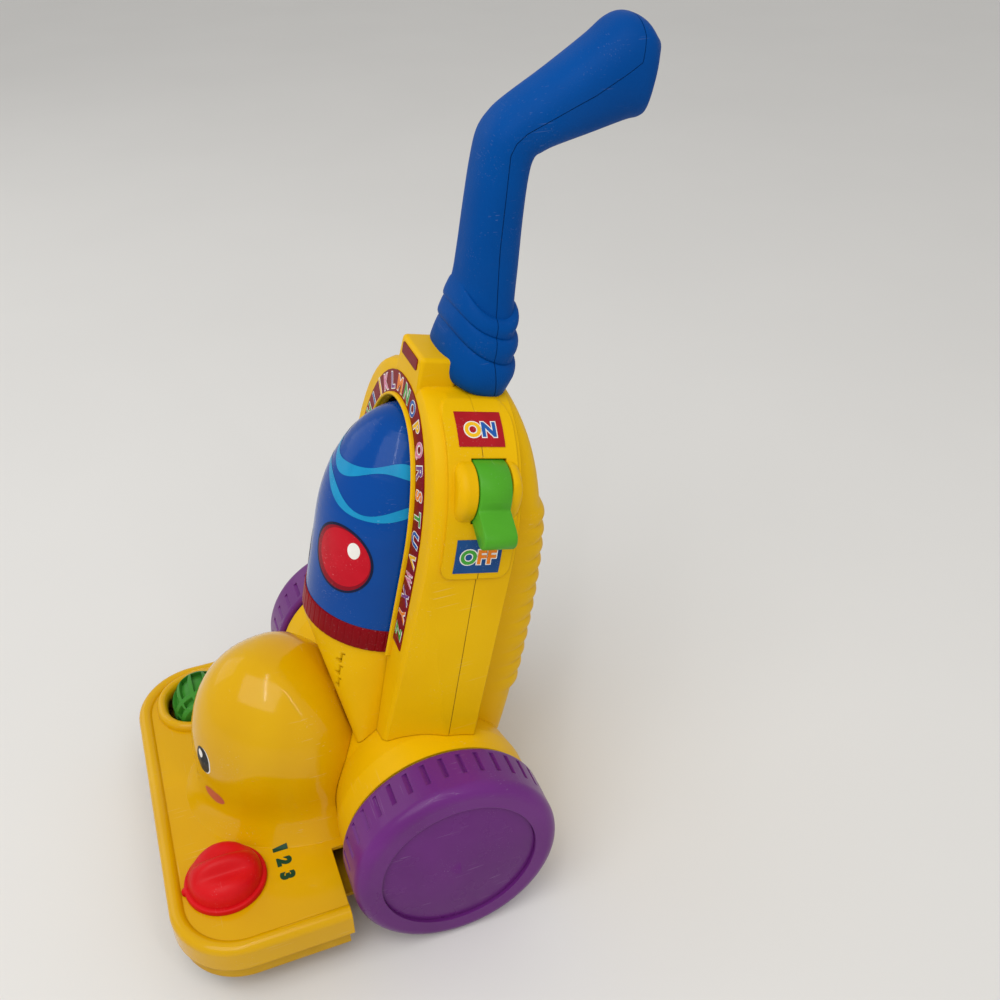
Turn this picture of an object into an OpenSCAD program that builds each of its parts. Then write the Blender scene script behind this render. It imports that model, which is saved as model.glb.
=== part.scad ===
// Toy upright vacuum cleaner: a push-along toy with big rear wheels, a domed nose,
// a spinning drum in an arched window, a flip switch, a dial and a ribbed nose roller.
// Millimetres. The floor is z = 0, the rear axle runs along X at y = 0, the front is -Y.

/* [Fits] */
// Radial clearance of a shaft that turns in its hole
run_fit = 0.05; // [0.03:0.01:0.1]
// Gap between pieces that meet without sliding
seat_gap = 0.3; // [0.2:0.05:0.5]
// Gap around pieces that turn inside an opening
turn_gap = 0.6; // [0.4:0.1:1]
// Wall of the moulded shells
wall = 2.5; // [2:0.1:3]

/* [Wheels] */
// Radius of a rear wheel over its tread
wheel_r = 60; // [58:1:64]
// Width of a rear wheel
wheel_w = 32; // [28:1:36]
// Distance between the inner faces of the rear wheels
wheel_inner_track = 176; // [174:1:184]
// Radius of the rounded outer shoulder
wheel_shoulder_r = 7; // [5:0.5:10]
// Radius of the rounded inner edge
wheel_edge_r = 3; // [2:0.5:5]
// Thickness of the rim behind the tread
wheel_rim_t = 4; // [3:0.5:6]
// Radius of the pressed-in disc on the outer face
wheel_cap_r = 45.5; // [40:0.5:47]
// Thickness of the disc at its edge
wheel_cap_t = 2; // [1.5:0.1:3]
// Radius of the shallow crown on the disc
wheel_cap_crown_r = 420; // [300:10:600]
// Depth of the disc below the shoulder
wheel_cap_depth = 2; // [1:0.5:3]
// Radius of the wheel hub
wheel_hub_r = 9; // [7:0.5:12]
// Number of notches around the tread
tread_notches = 36; // [24:1:40]
// Depth of a tread notch
notch_depth = 1.6; // [1:0.1:2]
// Width of a tread notch at the surface
notch_w = 4.4; // [3:0.1:5]
// Length of a tread notch across the tread
notch_len = 14; // [10:1:16]
// Plain band between the inner edge and the notches
notch_start = 4.5; // [3.5:0.5:6]
// Radius of the steel axle
axle_r = 3; // [2.5:0.1:4]
// Radius of the push nut on each axle end
axle_nut_r = 7; // [6:0.5:8]
// Thickness of the push nut
axle_nut_t = 1.2; // [0.8:0.1:1.6]

/* [Wheel housing] */
// Radius of the housing beside the wheels
housing_r = 57.5; // [56:0.5:58]
// Radius of the housing at its waist
housing_waist_r = 53.5; // [50:0.5:55]
// Half width of the straight waist
housing_waist_half = 48; // [40:1:52]
// Half width at which the full radius starts
housing_flare_half = 70; // [62:1:76]
// Gap between the housing and a wheel
housing_side_gap = 2; // [1.5:0.5:4]
// Radius of the axle boss in the housing end
axle_boss_r = 9; // [7:0.5:12]
// Length of the axle boss
axle_boss_len = 14; // [8:1:20]

/* [Nose plate] */
// Half width of the nose plate
plate_half_w = 118; // [110:1:120]
// Distance of the front edge ahead of the axle
plate_front = 158; // [150:1:165]
// Distance of the rear edge ahead of the axle
plate_rear = 63; // [62:0.5:66]
// Radius of the front corners in plan
plate_corner_r = 40; // [30:1:46]
// Height of the plate's rounded rim above the floor
plate_rim_z = 47.5; // [45:0.5:50]
// Depth of the skirt below the rim
plate_skirt = 17; // [14:0.5:19]
// Radius of the rounded rim
plate_rim_r = 4.5; // [3.5:0.1:5.5]
// Drop from the rim to the deck
plate_deck_drop = 2.5; // [1.5:0.1:3.5]
// Half width between the wheel notches
plate_notch_half = 69; // [64:1:72]

/* [Nose dome] */
// Height of the dome's top above the floor
dome_top_z = 146; // [135:1:152]
// Height of the dome's widest level
dome_wide_z = 80; // [72:1:88]
// Half width of the dome as a share of the plate's half width
dome_half_share = 0.449; // [0.43:0.001:0.46]
// Distance of the dome's top ahead of the axle
dome_top_ahead = 84; // [78:1:90]
// How far the dome's widest line lies behind its top
dome_back_shift = 24; // [16:1:30]
// How far the dome reaches ahead of its top
dome_front = 43; // [36:1:48]
// How far the dome reaches back from its widest line
dome_rear = 36; // [30:1:40]
// Width of the flared foot
dome_flare = 10; // [6:0.5:10.5]
// Height of the flared foot
dome_flare_h = 20; // [14:1:24]

/* [Dial] */
// Sideways place of the dial as a share of the plate's half width
dial_side_share = 0.58; // [0.56:0.005:0.6]
// Distance of the dial's middle behind the plate's front edge
dial_inset = 33.6; // [33:0.2:35]
// Radius of the dial's flange
dial_r = 21.3; // [19:0.1:21.5]
// Thickness of the flange
dial_flange_t = 3.5; // [2.5:0.1:5]
// Radius of the domed body
dial_body_r = 19; // [16:0.5:20]
// Height of the domed body
dial_body_h = 12; // [9:0.5:16]
// Height of the pinch ridge
dial_ridge_h = 19; // [15:0.5:22]
// Width of the pinch ridge
dial_ridge_w = 9; // [6:0.5:12]
// Turn of the pinch ridge seen from above
dial_turn = 270; // [0:1:359]
// Radius of the pointer bead on the flange
dial_bead_r = 3; // [2.5:0.1:3.2]
// Radius of the dial's stem
dial_stem_r = 5; // [4:0.5:7]
// Length of the stem below the flange
dial_stem_len = 14; // [11:1:16]
// Radius of the retaining washer
dial_washer_r = 10; // [8:0.5:12]
// Thickness of the retaining washer
dial_washer_t = 1.6; // [1:0.1:2.5]

/* [Nose roller] */
// Sideways place of the roller as a share of the plate's half width
roller_side_share = 0.695; // [0.66:0.005:0.71]
// Distance of the roller ahead of the axle
roller_ahead = 116; // [112:1:118]
// Largest radius of the roller
roller_r = 19.5; // [17:0.5:20]
// Radius of the roller at its ends
roller_end_r = 14; // [12:0.5:15]
// Length of the roller
roller_len = 34; // [30:1:35]
// Height of the roller's axis above the floor
roller_z = 43; // [42.5:0.5:45]
// Wall of the roller's core
roller_wall = 2.4; // [1.8:0.1:3]
// Height of the ribs on the roller
roller_rib_h = 3; // [2:0.5:4]
// Number of ribs around the roller
roller_ribs = 12; // [8:1:14]
// Width of a rib
roller_rib_w = 3.2; // [2.4:0.1:4]
// Width of the rings that hold the ribs
roller_ring_w = 3; // [2:0.5:4]
// Radius of the roller pin
roller_pin_r = 1.5; // [1:0.1:2]
// Length of the opening along the roller
roller_window_l = 42; // [41:1:44]
// Length of the opening across the roller
roller_window_w = 46; // [44:1:48]
// Corner radius of the opening
roller_window_r = 19; // [12:0.5:20]
// Width of the raised bezel around the opening
bezel_w = 5; // [4:0.5:6]
// Height of the bezel above the deck
bezel_h = 3; // [2:0.5:4]

/* [Underside] */
// Height of the underside above the floor
pan_z = 20; // [17:0.5:22]
// Thickness of the underside pan
pan_t = 2.5; // [2:0.1:3.5]
// Height of the pan's lip inside the skirt
pan_lip_h = 14; // [11:0.5:16]
// Radius of a front roller
front_roller_r = 13; // [10:0.5:15]
// Width of a front roller
front_roller_w = 14; // [10:0.5:18]
// Distance of a front roller's middle inside the plate's side
front_roller_inset = 30; // [26:1:38]
// Distance of the front rollers' axis behind the plate's front edge
front_roller_back = 26; // [24:1:32]
// Radius of a front roller pin
front_pin_r = 2; // [1.5:0.1:3]
// Thickness of the ears that hold a front roller
ear_t = 3; // [2.5:0.5:5]

/* [Upright] */
// Lean of the upright's front face
lean = 13; // [10:0.5:16]
// Height at which the upright's frame is set
upright_z = 200; // [194:1:206]
// How far the front face lies ahead of the frame
upright_front = 3.3; // [2.6:0.1:4.5]
// Half width of the front face
upright_half_w = 72; // [69:0.5:75]
// Half width of the front face at its foot
upright_foot_half = 62; // [58:0.5:66]
// Half width of the upright behind its front at the spring line
upright_seam_half = 73; // [71:0.5:76]
// Half width of the upright behind its front at its foot
seam_foot_half = 77; // [74:0.5:80]
// Height of the arch's spring line over the frame
arch_spring = 25; // [20:1:30]
// Rise of the arch
arch_rise = 87; // [82:1:90]
// Length of the upright below the frame
upright_foot = 112; // [106:1:116]
// Rounding of the front edge
upright_edge_r = 5; // [3:0.5:7]
// Depth of the seam behind the frame
seam_depth = 26; // [24:0.5:28]
// Lean of the seam against the front face
seam_lean = 2; // [1:0.1:3]
// Depth at which the sides reach their full width
flare_depth = 36.5; // [32:0.5:40]
// Depth of the rear flange's end behind the frame
flange_rear = 44.5; // [42:0.5:47]
// Half width of the top block
block_half_w = 17; // [13:0.5:19]
// Top of the block above the frame
block_top = 125.5; // [122:0.5:128]
// Depth of the block
block_depth = 21; // [16:1:24]

/* [Rear bag] */
// Half width of the ribbed bag
bag_half_w = 56; // [54:1:60]
// Depth of the bag behind the seam
bag_depth = 53; // [50:0.5:56]
// Height of the bag's deepest level below the frame
bag_drop = 40; // [30:1:48]
// Half height of the bag's curve
bag_half_h = 162; // [158:1:168]
// Number of ribs across the bag
bag_ribs = 12; // [8:1:14]
// Pitch of the ribs
bag_rib_pitch = 10.5; // [9:0.5:11]
// Height of a rib
bag_rib_h = 2.6; // [1.5:0.1:3.5]
// Lowest rib below the frame
bag_rib_start = 72; // [66:1:78]

/* [Drum] */
// Largest radius of the drum
drum_r = 43.5; // [40:0.5:44]
// Depth of the drum's axis behind the frame
drum_depth = 3; // [3:0.5:4]
// Height over the frame at which the drum's crown starts
drum_crown_start = 20; // [14:1:26]
// Height of the drum's crown
drum_crown_h = 71; // [64:1:74]
// Level of the collar's foot below the frame
drum_foot = 41.4; // [39:0.2:43]
// Height of the red collar
collar_h = 14.5; // [12:0.5:18]
// How far the collar stands out from the drum
collar_lip = 1; // [0.6:0.1:1.4]
// Number of ribs around the collar
collar_ribs = 60; // [40:1:72]
// Radius of the drum's spindle
spindle_r = 2; // [1.5:0.1:2.4]
// Gap between the drum and its window
window_gap = 2; // [1.5:0.1:3]
// Width of the yellow lip around the window
window_lip = 2; // [1.5:0.1:3]
// Width of the letter band around the window
band_w = 12; // [10:0.5:14]
// Thickness of the letter band
band_t = 0.6; // [0.4:0.1:1]

/* [Neck] */
// Half width of the neck at its foot
neck_foot_half = 49; // [46:0.5:51]
// How far the neck's foot lies ahead of the frame
neck_foot_front = 10; // [6:1:14]
// Depth of the neck's foot behind the frame
neck_foot_rear = 26; // [20:1:30]
// Thickness of the shelf under the drum
shelf_t = 4; // [3:0.5:6]
// Number of sound holes
sound_holes = 3; // [2:1:4]
// Pitch of the sound holes
sound_pitch = 9; // [8:0.5:11]
// Radius of the head of a sound hole
sound_head_r = 1.5; // [1:0.1:2]
// Length of the stem of a sound hole
sound_stem = 6; // [4:0.5:7]
// Width of the stem of a sound hole
sound_stem_w = 1; // [0.8:0.1:1.4]
// Radius of the loudspeaker
speaker_r = 16; // [13:0.5:18]
// Thickness of the loudspeaker
speaker_t = 9; // [7:0.5:12]

/* [Switch] */
// Height of the switch axis over the frame
switch_w = 72.5; // [71:0.5:74]
// Sideways place of the switch axis
switch_x = 57.5; // [56.5:0.5:59]
// Radius of the switch drum
switch_r = 16.8; // [15:0.2:17]
// Front end of the lever behind the frame
lever_front = 17; // [16:0.5:18]
// Length of the lever along its axis
lever_len = 18; // [16:0.5:20]
// Length of the hub in front of the lever
hub_len = 10; // [7:0.5:11]
// Length of the hub behind the lever
rear_hub_len = 7; // [5:0.5:8]
// How far a hub is smaller than the lever's drum
hub_step = 0.5; // [0.3:0.1:1]
// Rounding of the hub's end
hub_round_r = 5; // [3:0.5:6]
// Reach of the lever's thumb tab from the axis
tab_reach = 33.5; // [30:0.5:35]
// Thickness of the thumb tab
tab_t = 10; // [8:0.5:11]
// Angle of the thumb tab below the sideways direction
tab_angle = 21; // [16:1:26]
// Radius of the switch pin
switch_pin_r = 2; // [1.5:0.1:3]
// Height of the raised field around the switch
field_h = 1.6; // [1:0.1:2.5]
// Front edge of the raised field behind the frame
field_front = 4; // [3:0.5:5]
// Depth of the raised field
field_depth = 38; // [36:0.5:39]
// Lower edge of the raised field over the frame
field_low = 29; // [26:0.5:31]
// Upper edge of the raised field over the frame
field_high = 109.5; // [107:0.5:110.5]
// Corner radius of the raised field
field_corner_r = 7; // [4:0.5:10]
// Thickness of the switch labels
label_t = 0.4; // [0.3:0.05:0.6]
// Width of the switch labels
label_w = 25; // [20:0.5:28]
// Lower edge of the upper label over the frame
on_label_low = 94.5; // [93.5:0.5:95.5]
// Height of the upper label, measured upright
on_label_h = 11.5; // [9:0.5:12]
// Lower edge of the lower label over the frame
off_label_low = 33; // [31:0.5:35]
// Height of the lower label, measured upright
off_label_h = 19; // [15:0.5:20]

/* [Handle] */
// Reach of the handle from its front to the end of the grip
handle_run = 118; // [114:0.5:122]
// Distance of the handle's front behind the axle
handle_front = 36.5; // [34:0.5:38]
// Height of the handle's lowest edge above the floor
handle_low_z = 290; // [286:1:294]
// Height of the handle from its lowest edge to the grip's top
handle_rise = 185; // [178:1:192]
// Half width of the handle's widest bellows ring
handle_half_w = 31; // [28:0.5:33]
// Radius of the post inside the handle
post_r = 9; // [7:0.5:10]
// Length of the post
post_len = 92; // [80:1:100]

/* [Batteries] */
// Radius of a battery cell
cell_r = 7.2; // [7:0.05:7.3]
// Length of a battery cell
cell_len = 50; // [49:0.1:50.5]
// Number of cells
cells = 3; // [2:1:3]
// Wall of the battery tray
tray_wall = 2; // [1.6:0.1:2.4]
// Distance of the tray's middle ahead of the axle
tray_ahead = 92; // [89:1:95]
// Thickness of the circuit board
board_t = 1.6; // [1:0.1:2]

/* [Hidden] */

$fn = 64;
overrun = 1;
slice_t = 0.01;
reach = 600;

yellow = [0.95, 0.75, 0.02];
deep_yellow = [0.9, 0.7, 0.02];
blue = [0.05, 0.35, 0.75];
red = [0.75, 0.05, 0.1];
bright_red = [0.95, 0.12, 0.12];
purple = [0.45, 0.17, 0.5];
green = [0.3, 0.65, 0.2];
steel = [0.7, 0.7, 0.72];
dark = [0.15, 0.15, 0.16];

// Levels and places that follow from the driving sizes
axle_z = wheel_r;
wheel_x = wheel_inner_track / 2;
wheel_face = wheel_w - wheel_cap_depth;
wheel_pocket = axle_nut_t + seat_gap;
wheel_web = wheel_face - wheel_cap_t - seat_gap - wheel_pocket;
axle_half = wheel_x + wheel_web + axle_nut_t;
housing_half = wheel_x - housing_side_gap;
pan_top = pan_z + pan_t;
deck_z = plate_rim_z - plate_deck_drop;
skirt_z = plate_rim_z - plate_skirt;
pan_rear = sqrt(pow(housing_r, 2) - pow(axle_z - pan_top, 2));
pan_inset = wall + seat_gap;
dome_half_w = plate_half_w * dome_half_share;
dial_x = plate_half_w * dial_side_share;
roller_x = plate_half_w * roller_side_share;
front_roller_ahead = plate_front - front_roller_back;
front_roller_x = plate_half_w - front_roller_inset;
dial_ahead = plate_front - dial_inset;
inner_front = wall - upright_front;
opening_half = drum_r + window_gap;
opening_rise = drum_crown_h + window_gap;
shelf_top = -(drum_foot + turn_gap);
collar_r = drum_r + collar_lip;
neck_r = drum_r - collar_lip;
arch_steps = 28;
arch_power = 2.3;
window_power = 2.15;
fine_fn = 200;
crown_fn = 720;
hub_r = switch_r - hub_step;
neck_turn = atan2(neck_r - drum_depth - neck_foot_front, upright_foot + shelf_top - shelf_t);

function sgn_pow(v, p) = sign(v) * pow(abs(v), p);

// An arch of a set half width: a squarish half oval from the right spring point to the left one
function arch(half, spring, rise, power) = [for (i = [0 : arch_steps]) let (t = 180 * i / arch_steps)
    [half * sgn_pow(cos(t), 2 / power), spring + rise * pow(sin(t), 2 / power)]];

// The upright's outline: the arch on two sides that run down to its foot
function upright_outline(half, foot, inset) = concat(
    arch(half - inset, arch_spring, arch_rise - inset, arch_power),
    [[-(foot - inset), -upright_foot], [foot - inset, -upright_foot]]);

// The window's outline: the drum's own crown grown by a margin, on straight sides
function window_outline(margin, low) = concat(
    arch(opening_half + margin, drum_crown_start, opening_rise + margin, window_power),
    [[-(opening_half + margin), low], [opening_half + margin, low]]);

// A closed skin through rings of equally many points, each counter-clockwise seen from the far end
module loft(rings) {
    n = len(rings[0]);
    m = len(rings);
    sides = [for (i = [0 : m - 2], j = [0 : n - 1]) let (a = i * n + j, b = i * n + (j + 1) % n)
        each [[a, a + n, b + n], [a, b + n, b]]];
    polyhedron(points = [for (r = rings) each r], convexity = 6,
        faces = concat(sides, [[for (j = [0 : n - 1]) j]],
            [[for (j = [n - 1 : -1 : 0]) (m - 1) * n + j]]));
}

module along_x() { rotate([0, 90, 0]) children(); }
module at_axle() { translate([0, 0, axle_z]) along_x() children(); }
module mirror_pair() {
    children();
    mirror([1, 0, 0]) children();
}

// The upright's own frame: X sideways, Y into the depth, Z up along the leaning front face
module upright_frame() { translate([0, 0, upright_z]) rotate([-lean, 0, 0]) children(); }
module from_front() { rotate([90, 0, 0]) children(); }

// A rectangle with round corners about the origin
module round_rect(l, w, r) {
    square([l - 2 * r, w], center = true);
    square([l, w - 2 * r], center = true);
    for (sx = [-1, 1], sy = [-1, 1]) translate([sx * (l / 2 - r), sy * (w / 2 - r)]) circle(r);
}

// Wheels

module wheel_profile() {
    square([wheel_r - wheel_shoulder_r, wheel_w]);
    translate([0, wheel_edge_r]) square([wheel_r, wheel_w - wheel_shoulder_r - wheel_edge_r]);
    square([wheel_r - wheel_edge_r, wheel_w - wheel_shoulder_r]);
    translate([wheel_r - wheel_shoulder_r, wheel_w - wheel_shoulder_r]) circle(wheel_shoulder_r);
    translate([wheel_r - wheel_edge_r, wheel_edge_r]) circle(wheel_edge_r);
}

module tread_notch() {
    translate([wheel_r, 0, notch_start]) linear_extrude(notch_len)
        polygon([[-notch_depth, 0], [overrun, -notch_depth / 2], [overrun, notch_w]]);
}

module wheel_solid() {
    hollow_r = wheel_r - wheel_rim_t;
    difference() {
        rotate_extrude() difference() {
            wheel_profile();
            translate([wheel_hub_r, -overrun])
                square([hollow_r - wheel_hub_r, wheel_web - wall + overrun]);
            translate([0, wheel_face - wheel_cap_t]) square([wheel_cap_r, wheel_w]);
            translate([0, wheel_web]) square([wheel_cap_r - wall, wheel_w]);
            translate([0, -overrun]) square([axle_r + run_fit, wheel_w]);
        }
        for (i = [0 : tread_notches - 1]) rotate([0, 0, i * 360 / tread_notches]) tread_notch();
    }
}

module wheel_disc_solid() {
    rotate_extrude() intersection() {
        translate([0, wheel_face - wheel_cap_t]) square([wheel_cap_r - seat_gap / 2, wheel_w]);
        translate([0, wheel_face + crown_sag() - wheel_cap_crown_r])
            circle(wheel_cap_crown_r, $fn = crown_fn);
    }
}
function crown_sag() = wheel_cap_crown_r - sqrt(pow(wheel_cap_crown_r, 2) - pow(wheel_cap_r, 2));

module wheel_place() { translate([wheel_x, 0, axle_z]) along_x() children(); }
module right_wheel() { color(purple) wheel_place() wheel_solid(); }
module left_wheel() { color(purple) mirror([1, 0, 0]) wheel_place() wheel_solid(); }
module right_wheel_disc() { color(purple) wheel_place() wheel_disc_solid(); }
module left_wheel_disc() { color(purple) mirror([1, 0, 0]) wheel_place() wheel_disc_solid(); }

module axle() {
    color(steel) translate([-axle_half, 0, axle_z]) along_x() cylinder(r = axle_r, h = 2 * axle_half);
}

module axle_nuts() {
    color(steel) mirror_pair() translate([axle_half - axle_nut_t, 0, axle_z]) along_x() difference() {
        translate([0, 0, seat_gap / 2]) cylinder(r = axle_nut_r, h = axle_nut_t - seat_gap / 2);
        translate([0, 0, -overrun]) cylinder(r = axle_r, h = axle_nut_t + 2 * overrun);
    }
}

// Wheel housing

module housing_profile(inset) {
    h = housing_half - inset;
    polygon([[0, -h], [housing_r - inset, -h], [housing_r - inset, -housing_flare_half],
        [housing_waist_r - inset, -housing_waist_half], [housing_waist_r - inset, housing_waist_half],
        [housing_r - inset, housing_flare_half], [housing_r - inset, h], [0, h]]);
}

module housing_body(inset) { at_axle() rotate_extrude() housing_profile(inset); }

module wheel_housing() {
    color(deep_yellow) difference() {
        union() {
            difference() {
                housing_body(0);
                housing_body(wall);
            }
            mirror_pair() translate([housing_half - axle_boss_len, 0, axle_z]) along_x()
                cylinder(r = axle_boss_r, h = axle_boss_len - wall / 2);
        }
        translate([-reach / 2, -reach / 2, pan_top - reach]) cube(reach);
        translate([-reach / 2, 0, axle_z]) along_x() cylinder(r = axle_r + run_fit, h = reach);
    }
}

// Nose plate, dome and bezel in one moulding

module plate_outline(inset) {
    r = plate_corner_r - inset;
    half = plate_half_w - inset;
    front = plate_front - inset;
    translate([-half, -front + r]) square([2 * half, front - r - plate_rear]);
    translate([-half + r, -front]) square([2 * (half - r), front - plate_rear]);
    for (s = [-1, 1]) translate([s * (half - r), -front + r]) circle(r);
    translate([-plate_notch_half, -plate_rear - overrun])
        square([2 * plate_notch_half, plate_rear + overrun]);
}

module rim_bead() {
    z = plate_rim_z - plate_rim_r;
    run = plate_front - plate_corner_r - plate_rear;
    half = plate_half_w - plate_corner_r;
    mirror_pair() {
        translate([plate_half_w - plate_rim_r, -plate_rear, z]) rotate([90, 0, 0])
            cylinder(r = plate_rim_r, h = run);
        translate([half, -plate_front + plate_corner_r, z]) rotate([0, 0, -90]) rotate_extrude(angle = 90)
            translate([plate_corner_r - plate_rim_r, 0]) circle(plate_rim_r);
    }
    translate([-half, -plate_front + plate_rim_r, z]) along_x() cylinder(r = plate_rim_r, h = 2 * half);
}

dome_levels_shares = [0, 0.05, 0.11, 0.18, 0.26, 0.35, 0.46, 0.57, 0.67, 0.76, 0.84, 0.905, 0.955,
    0.985, 0.998];
dome_points = 40;

// One level ring of the dome: an egg that widens towards the back and flares at its foot
function dome_ring(z, inset) = let (
        q = max(0, (z - dome_wide_z) / (dome_top_z - inset - dome_wide_z)),
        s = sqrt(max(0, 1 - q * q)),
        f = dome_flare * pow(max(0, 1 - (z - deck_z) / dome_flare_h), 2),
        mid = -dome_top_ahead + dome_back_shift * s,
        half = max(slice_t, (dome_half_w - inset) * s) + f,
        fore = max(slice_t, (dome_front + dome_back_shift - inset) * s) + f,
        aft = max(slice_t, (dome_rear - inset) * s))
    [for (i = [0 : dome_points - 1]) let (t = 360 * i / dome_points)
        [half * cos(t), mid + (sin(t) < 0 ? fore : aft) * sin(t), z]];

module dome_skin(inset, low) {
    high = dome_top_z - inset;
    loft([for (u = dome_levels_shares) dome_ring(low + (high - low) * u, inset)]);
}

module roller_window(margin) {
    translate([-roller_x, -roller_ahead])
        round_rect(roller_window_l + 2 * margin, roller_window_w + 2 * margin, roller_window_r + margin);
}

// The space behind the dome that the neck and the housing take
module dome_back_cut() {
    at_axle() rotate_extrude() housing_profile(-seat_gap);
    upright_frame() translate([0, drum_depth - neck_r - seat_gap, shelf_top - shelf_t])
        rotate([neck_turn, 0, 0])
        translate([-reach / 2, 0, -reach / 2]) cube(reach);
}

module nose_shell() {
    color(yellow) difference() {
        union() {
            difference() {
                union() {
                    translate([0, 0, skirt_z]) linear_extrude(plate_rim_z - plate_rim_r - skirt_z)
                        plate_outline(0);
                    translate([0, 0, skirt_z]) linear_extrude(deck_z - skirt_z)
                        plate_outline(plate_rim_r);
                    rim_bead();
                }
                translate([0, 0, skirt_z - overrun]) linear_extrude(deck_z - wall - skirt_z + overrun)
                    plate_outline(wall);
            }
            dome_skin(0, deck_z - wall);
            nose_screw_places() translate([0, 0, pan_top + seat_gap])
                cylinder(r = screw_post_r, h = deck_z - wall / 2 - pan_top - seat_gap);
            linear_extrude(deck_z + bezel_h) difference() {
                roller_window(bezel_w);
                roller_window(0);
            }
        }
        dome_skin(wall, deck_z - 2 * wall);
        translate([0, 0, -overrun]) linear_extrude(deck_z - wall + overrun) roller_window(bezel_w + wall);
        linear_extrude(reach) roller_window(0);
        translate([dial_x, -dial_ahead, skirt_z]) cylinder(r = dial_stem_r + run_fit, h = plate_skirt);
        nose_screw_places() screw_shaft();
        dome_back_cut();
    }
}

// Underside

module pan_outline(inset) {
    difference() {
        plate_outline(pan_inset + inset);
        translate([-reach / 2, -plate_rear - wall - inset]) square([reach, reach]);
    }
    translate([-housing_half + inset, -plate_rear - wall - inset - overrun])
        square([2 * (housing_half - inset), plate_rear + wall + pan_rear + overrun]);
}

module front_roller_place()
    { translate([front_roller_x, -front_roller_ahead, front_roller_r]) along_x() children(); }

module front_ears() {
    side = front_roller_w / 2 + turn_gap;
    ear_r = front_pin_r + ear_t;
    for (s = [side, -side - ear_t]) front_roller_place() translate([0, 0, s]) {
        cylinder(r = ear_r, h = ear_t);
        translate([front_roller_r - pan_top, -ear_r]) cube([pan_top - front_roller_r, 2 * ear_r, ear_t]);
    }
}

module underside_pan() {
    well_l = front_roller_w + 2 * turn_gap;
    well_w = 2 * (front_roller_r + turn_gap);
    color(deep_yellow) difference() {
        union() {
            translate([0, 0, pan_z]) linear_extrude(pan_t) pan_outline(0);
            translate([0, 0, pan_top]) linear_extrude(pan_lip_h) difference() {
                pan_outline(0);
                pan_outline(wall);
                translate([-reach / 2, -plate_rear - wall]) square(reach);
            }
            mirror_pair() front_ears();
        }
        mirror_pair() translate([front_roller_x, -front_roller_ahead, pan_z + pan_t / 2])
            cube([well_l, well_w, 2 * pan_t], center = true);
        mirror_pair() front_roller_place() translate([0, 0, -front_roller_w])
            cylinder(r = front_pin_r, h = 2 * front_roller_w);
        translate([0, -tray_ahead, pan_z + pan_t / 2])
            cube([door_l + 2 * seat_gap, door_w + 2 * seat_gap, 2 * pan_t], center = true);
        nose_screw_places() translate([0, 0, pan_z - overrun]) {
            cylinder(r = screw_r + run_fit, h = pan_t + 2 * overrun);
            cylinder(r = screw_head_r + run_fit, h = screw_sink + overrun);
        }
    }
}

module front_roller_solid() {
    front_roller_place() rotate_extrude() translate([front_pin_r + run_fit, -front_roller_w / 2])
        square([front_roller_r - front_pin_r - run_fit, front_roller_w]);
}
module right_front_roller() { color(dark) front_roller_solid(); }
module left_front_roller() { color(dark) mirror([1, 0, 0]) front_roller_solid(); }

module front_roller_pins() {
    half = front_roller_w / 2 + turn_gap + ear_t;
    color(steel) mirror_pair() front_roller_place() translate([0, 0, -half])
        cylinder(r = front_pin_r, h = 2 * half);
}

// Screws that hold the pan to the posts of the nose shell
screw_r = 1.6;
screw_head_r = 3;
screw_head_h = 1.4;
// Depth of the pocket that takes a screw's head flush
screw_sink = 1.5;
screw_len = 12;
screw_post_r = 4;
screw_rear_inset = 26;
screw_rear_x = plate_half_w - screw_rear_inset;
screw_rear_ahead = 74;
screw_front_x = 40;
screw_front_inset = 11;
screw_front_ahead = plate_front - screw_front_inset;
module screw_shaft() { translate([0, 0, pan_z + screw_sink - screw_head_h])
    cylinder(r = screw_r, h = screw_len); }

module nose_screw_places() {
    mirror_pair() {
        translate([screw_rear_x, -screw_rear_ahead, 0]) children();
        translate([screw_front_x, -screw_front_ahead, 0]) children();
    }
}
module nose_screws() {
    color(steel) nose_screw_places() {
        screw_shaft();
        translate([0, 0, pan_z + screw_sink - screw_head_h]) cylinder(r = screw_head_r, h = screw_head_h);
    }
}

// Battery tray, cells, door and board under the dome
tray_l = cell_len + 2 * (tray_wall + seat_gap);
tray_w = cells * 2 * (cell_r + seat_gap) + 2 * tray_wall;
tray_h = 2 * cell_r + 2 * seat_gap + tray_wall;
door_l = tray_l - 2 * tray_wall;
door_w = tray_w - 2 * tray_wall;
function cell_y(i) = (i - (cells - 1) / 2) * 2 * (cell_r + seat_gap);

module battery_tray() {
    color(dark) translate([0, -tray_ahead, pan_top + tray_h / 2]) difference() {
        cube([tray_l, tray_w, tray_h], center = true);
        translate([0, 0, -tray_wall])
            cube([tray_l - 2 * tray_wall, tray_w - 2 * tray_wall, tray_h], center = true);
    }
}

module battery_cells() {
    color(steel) for (i = [0 : cells - 1])
        translate([-cell_len / 2, -tray_ahead + cell_y(i), pan_top + seat_gap + cell_r]) along_x()
            cylinder(r = cell_r, h = cell_len);
}

module battery_door() {
    color(deep_yellow) translate([0, -tray_ahead, pan_z + pan_t / 2])
        cube([door_l, door_w, pan_t], center = true);
}

module circuit_board() {
    color("darkgreen") translate([0, -tray_ahead, pan_top + tray_h + board_t / 2])
        cube([tray_l, tray_w, board_t], center = true);
}

// Dial

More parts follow.
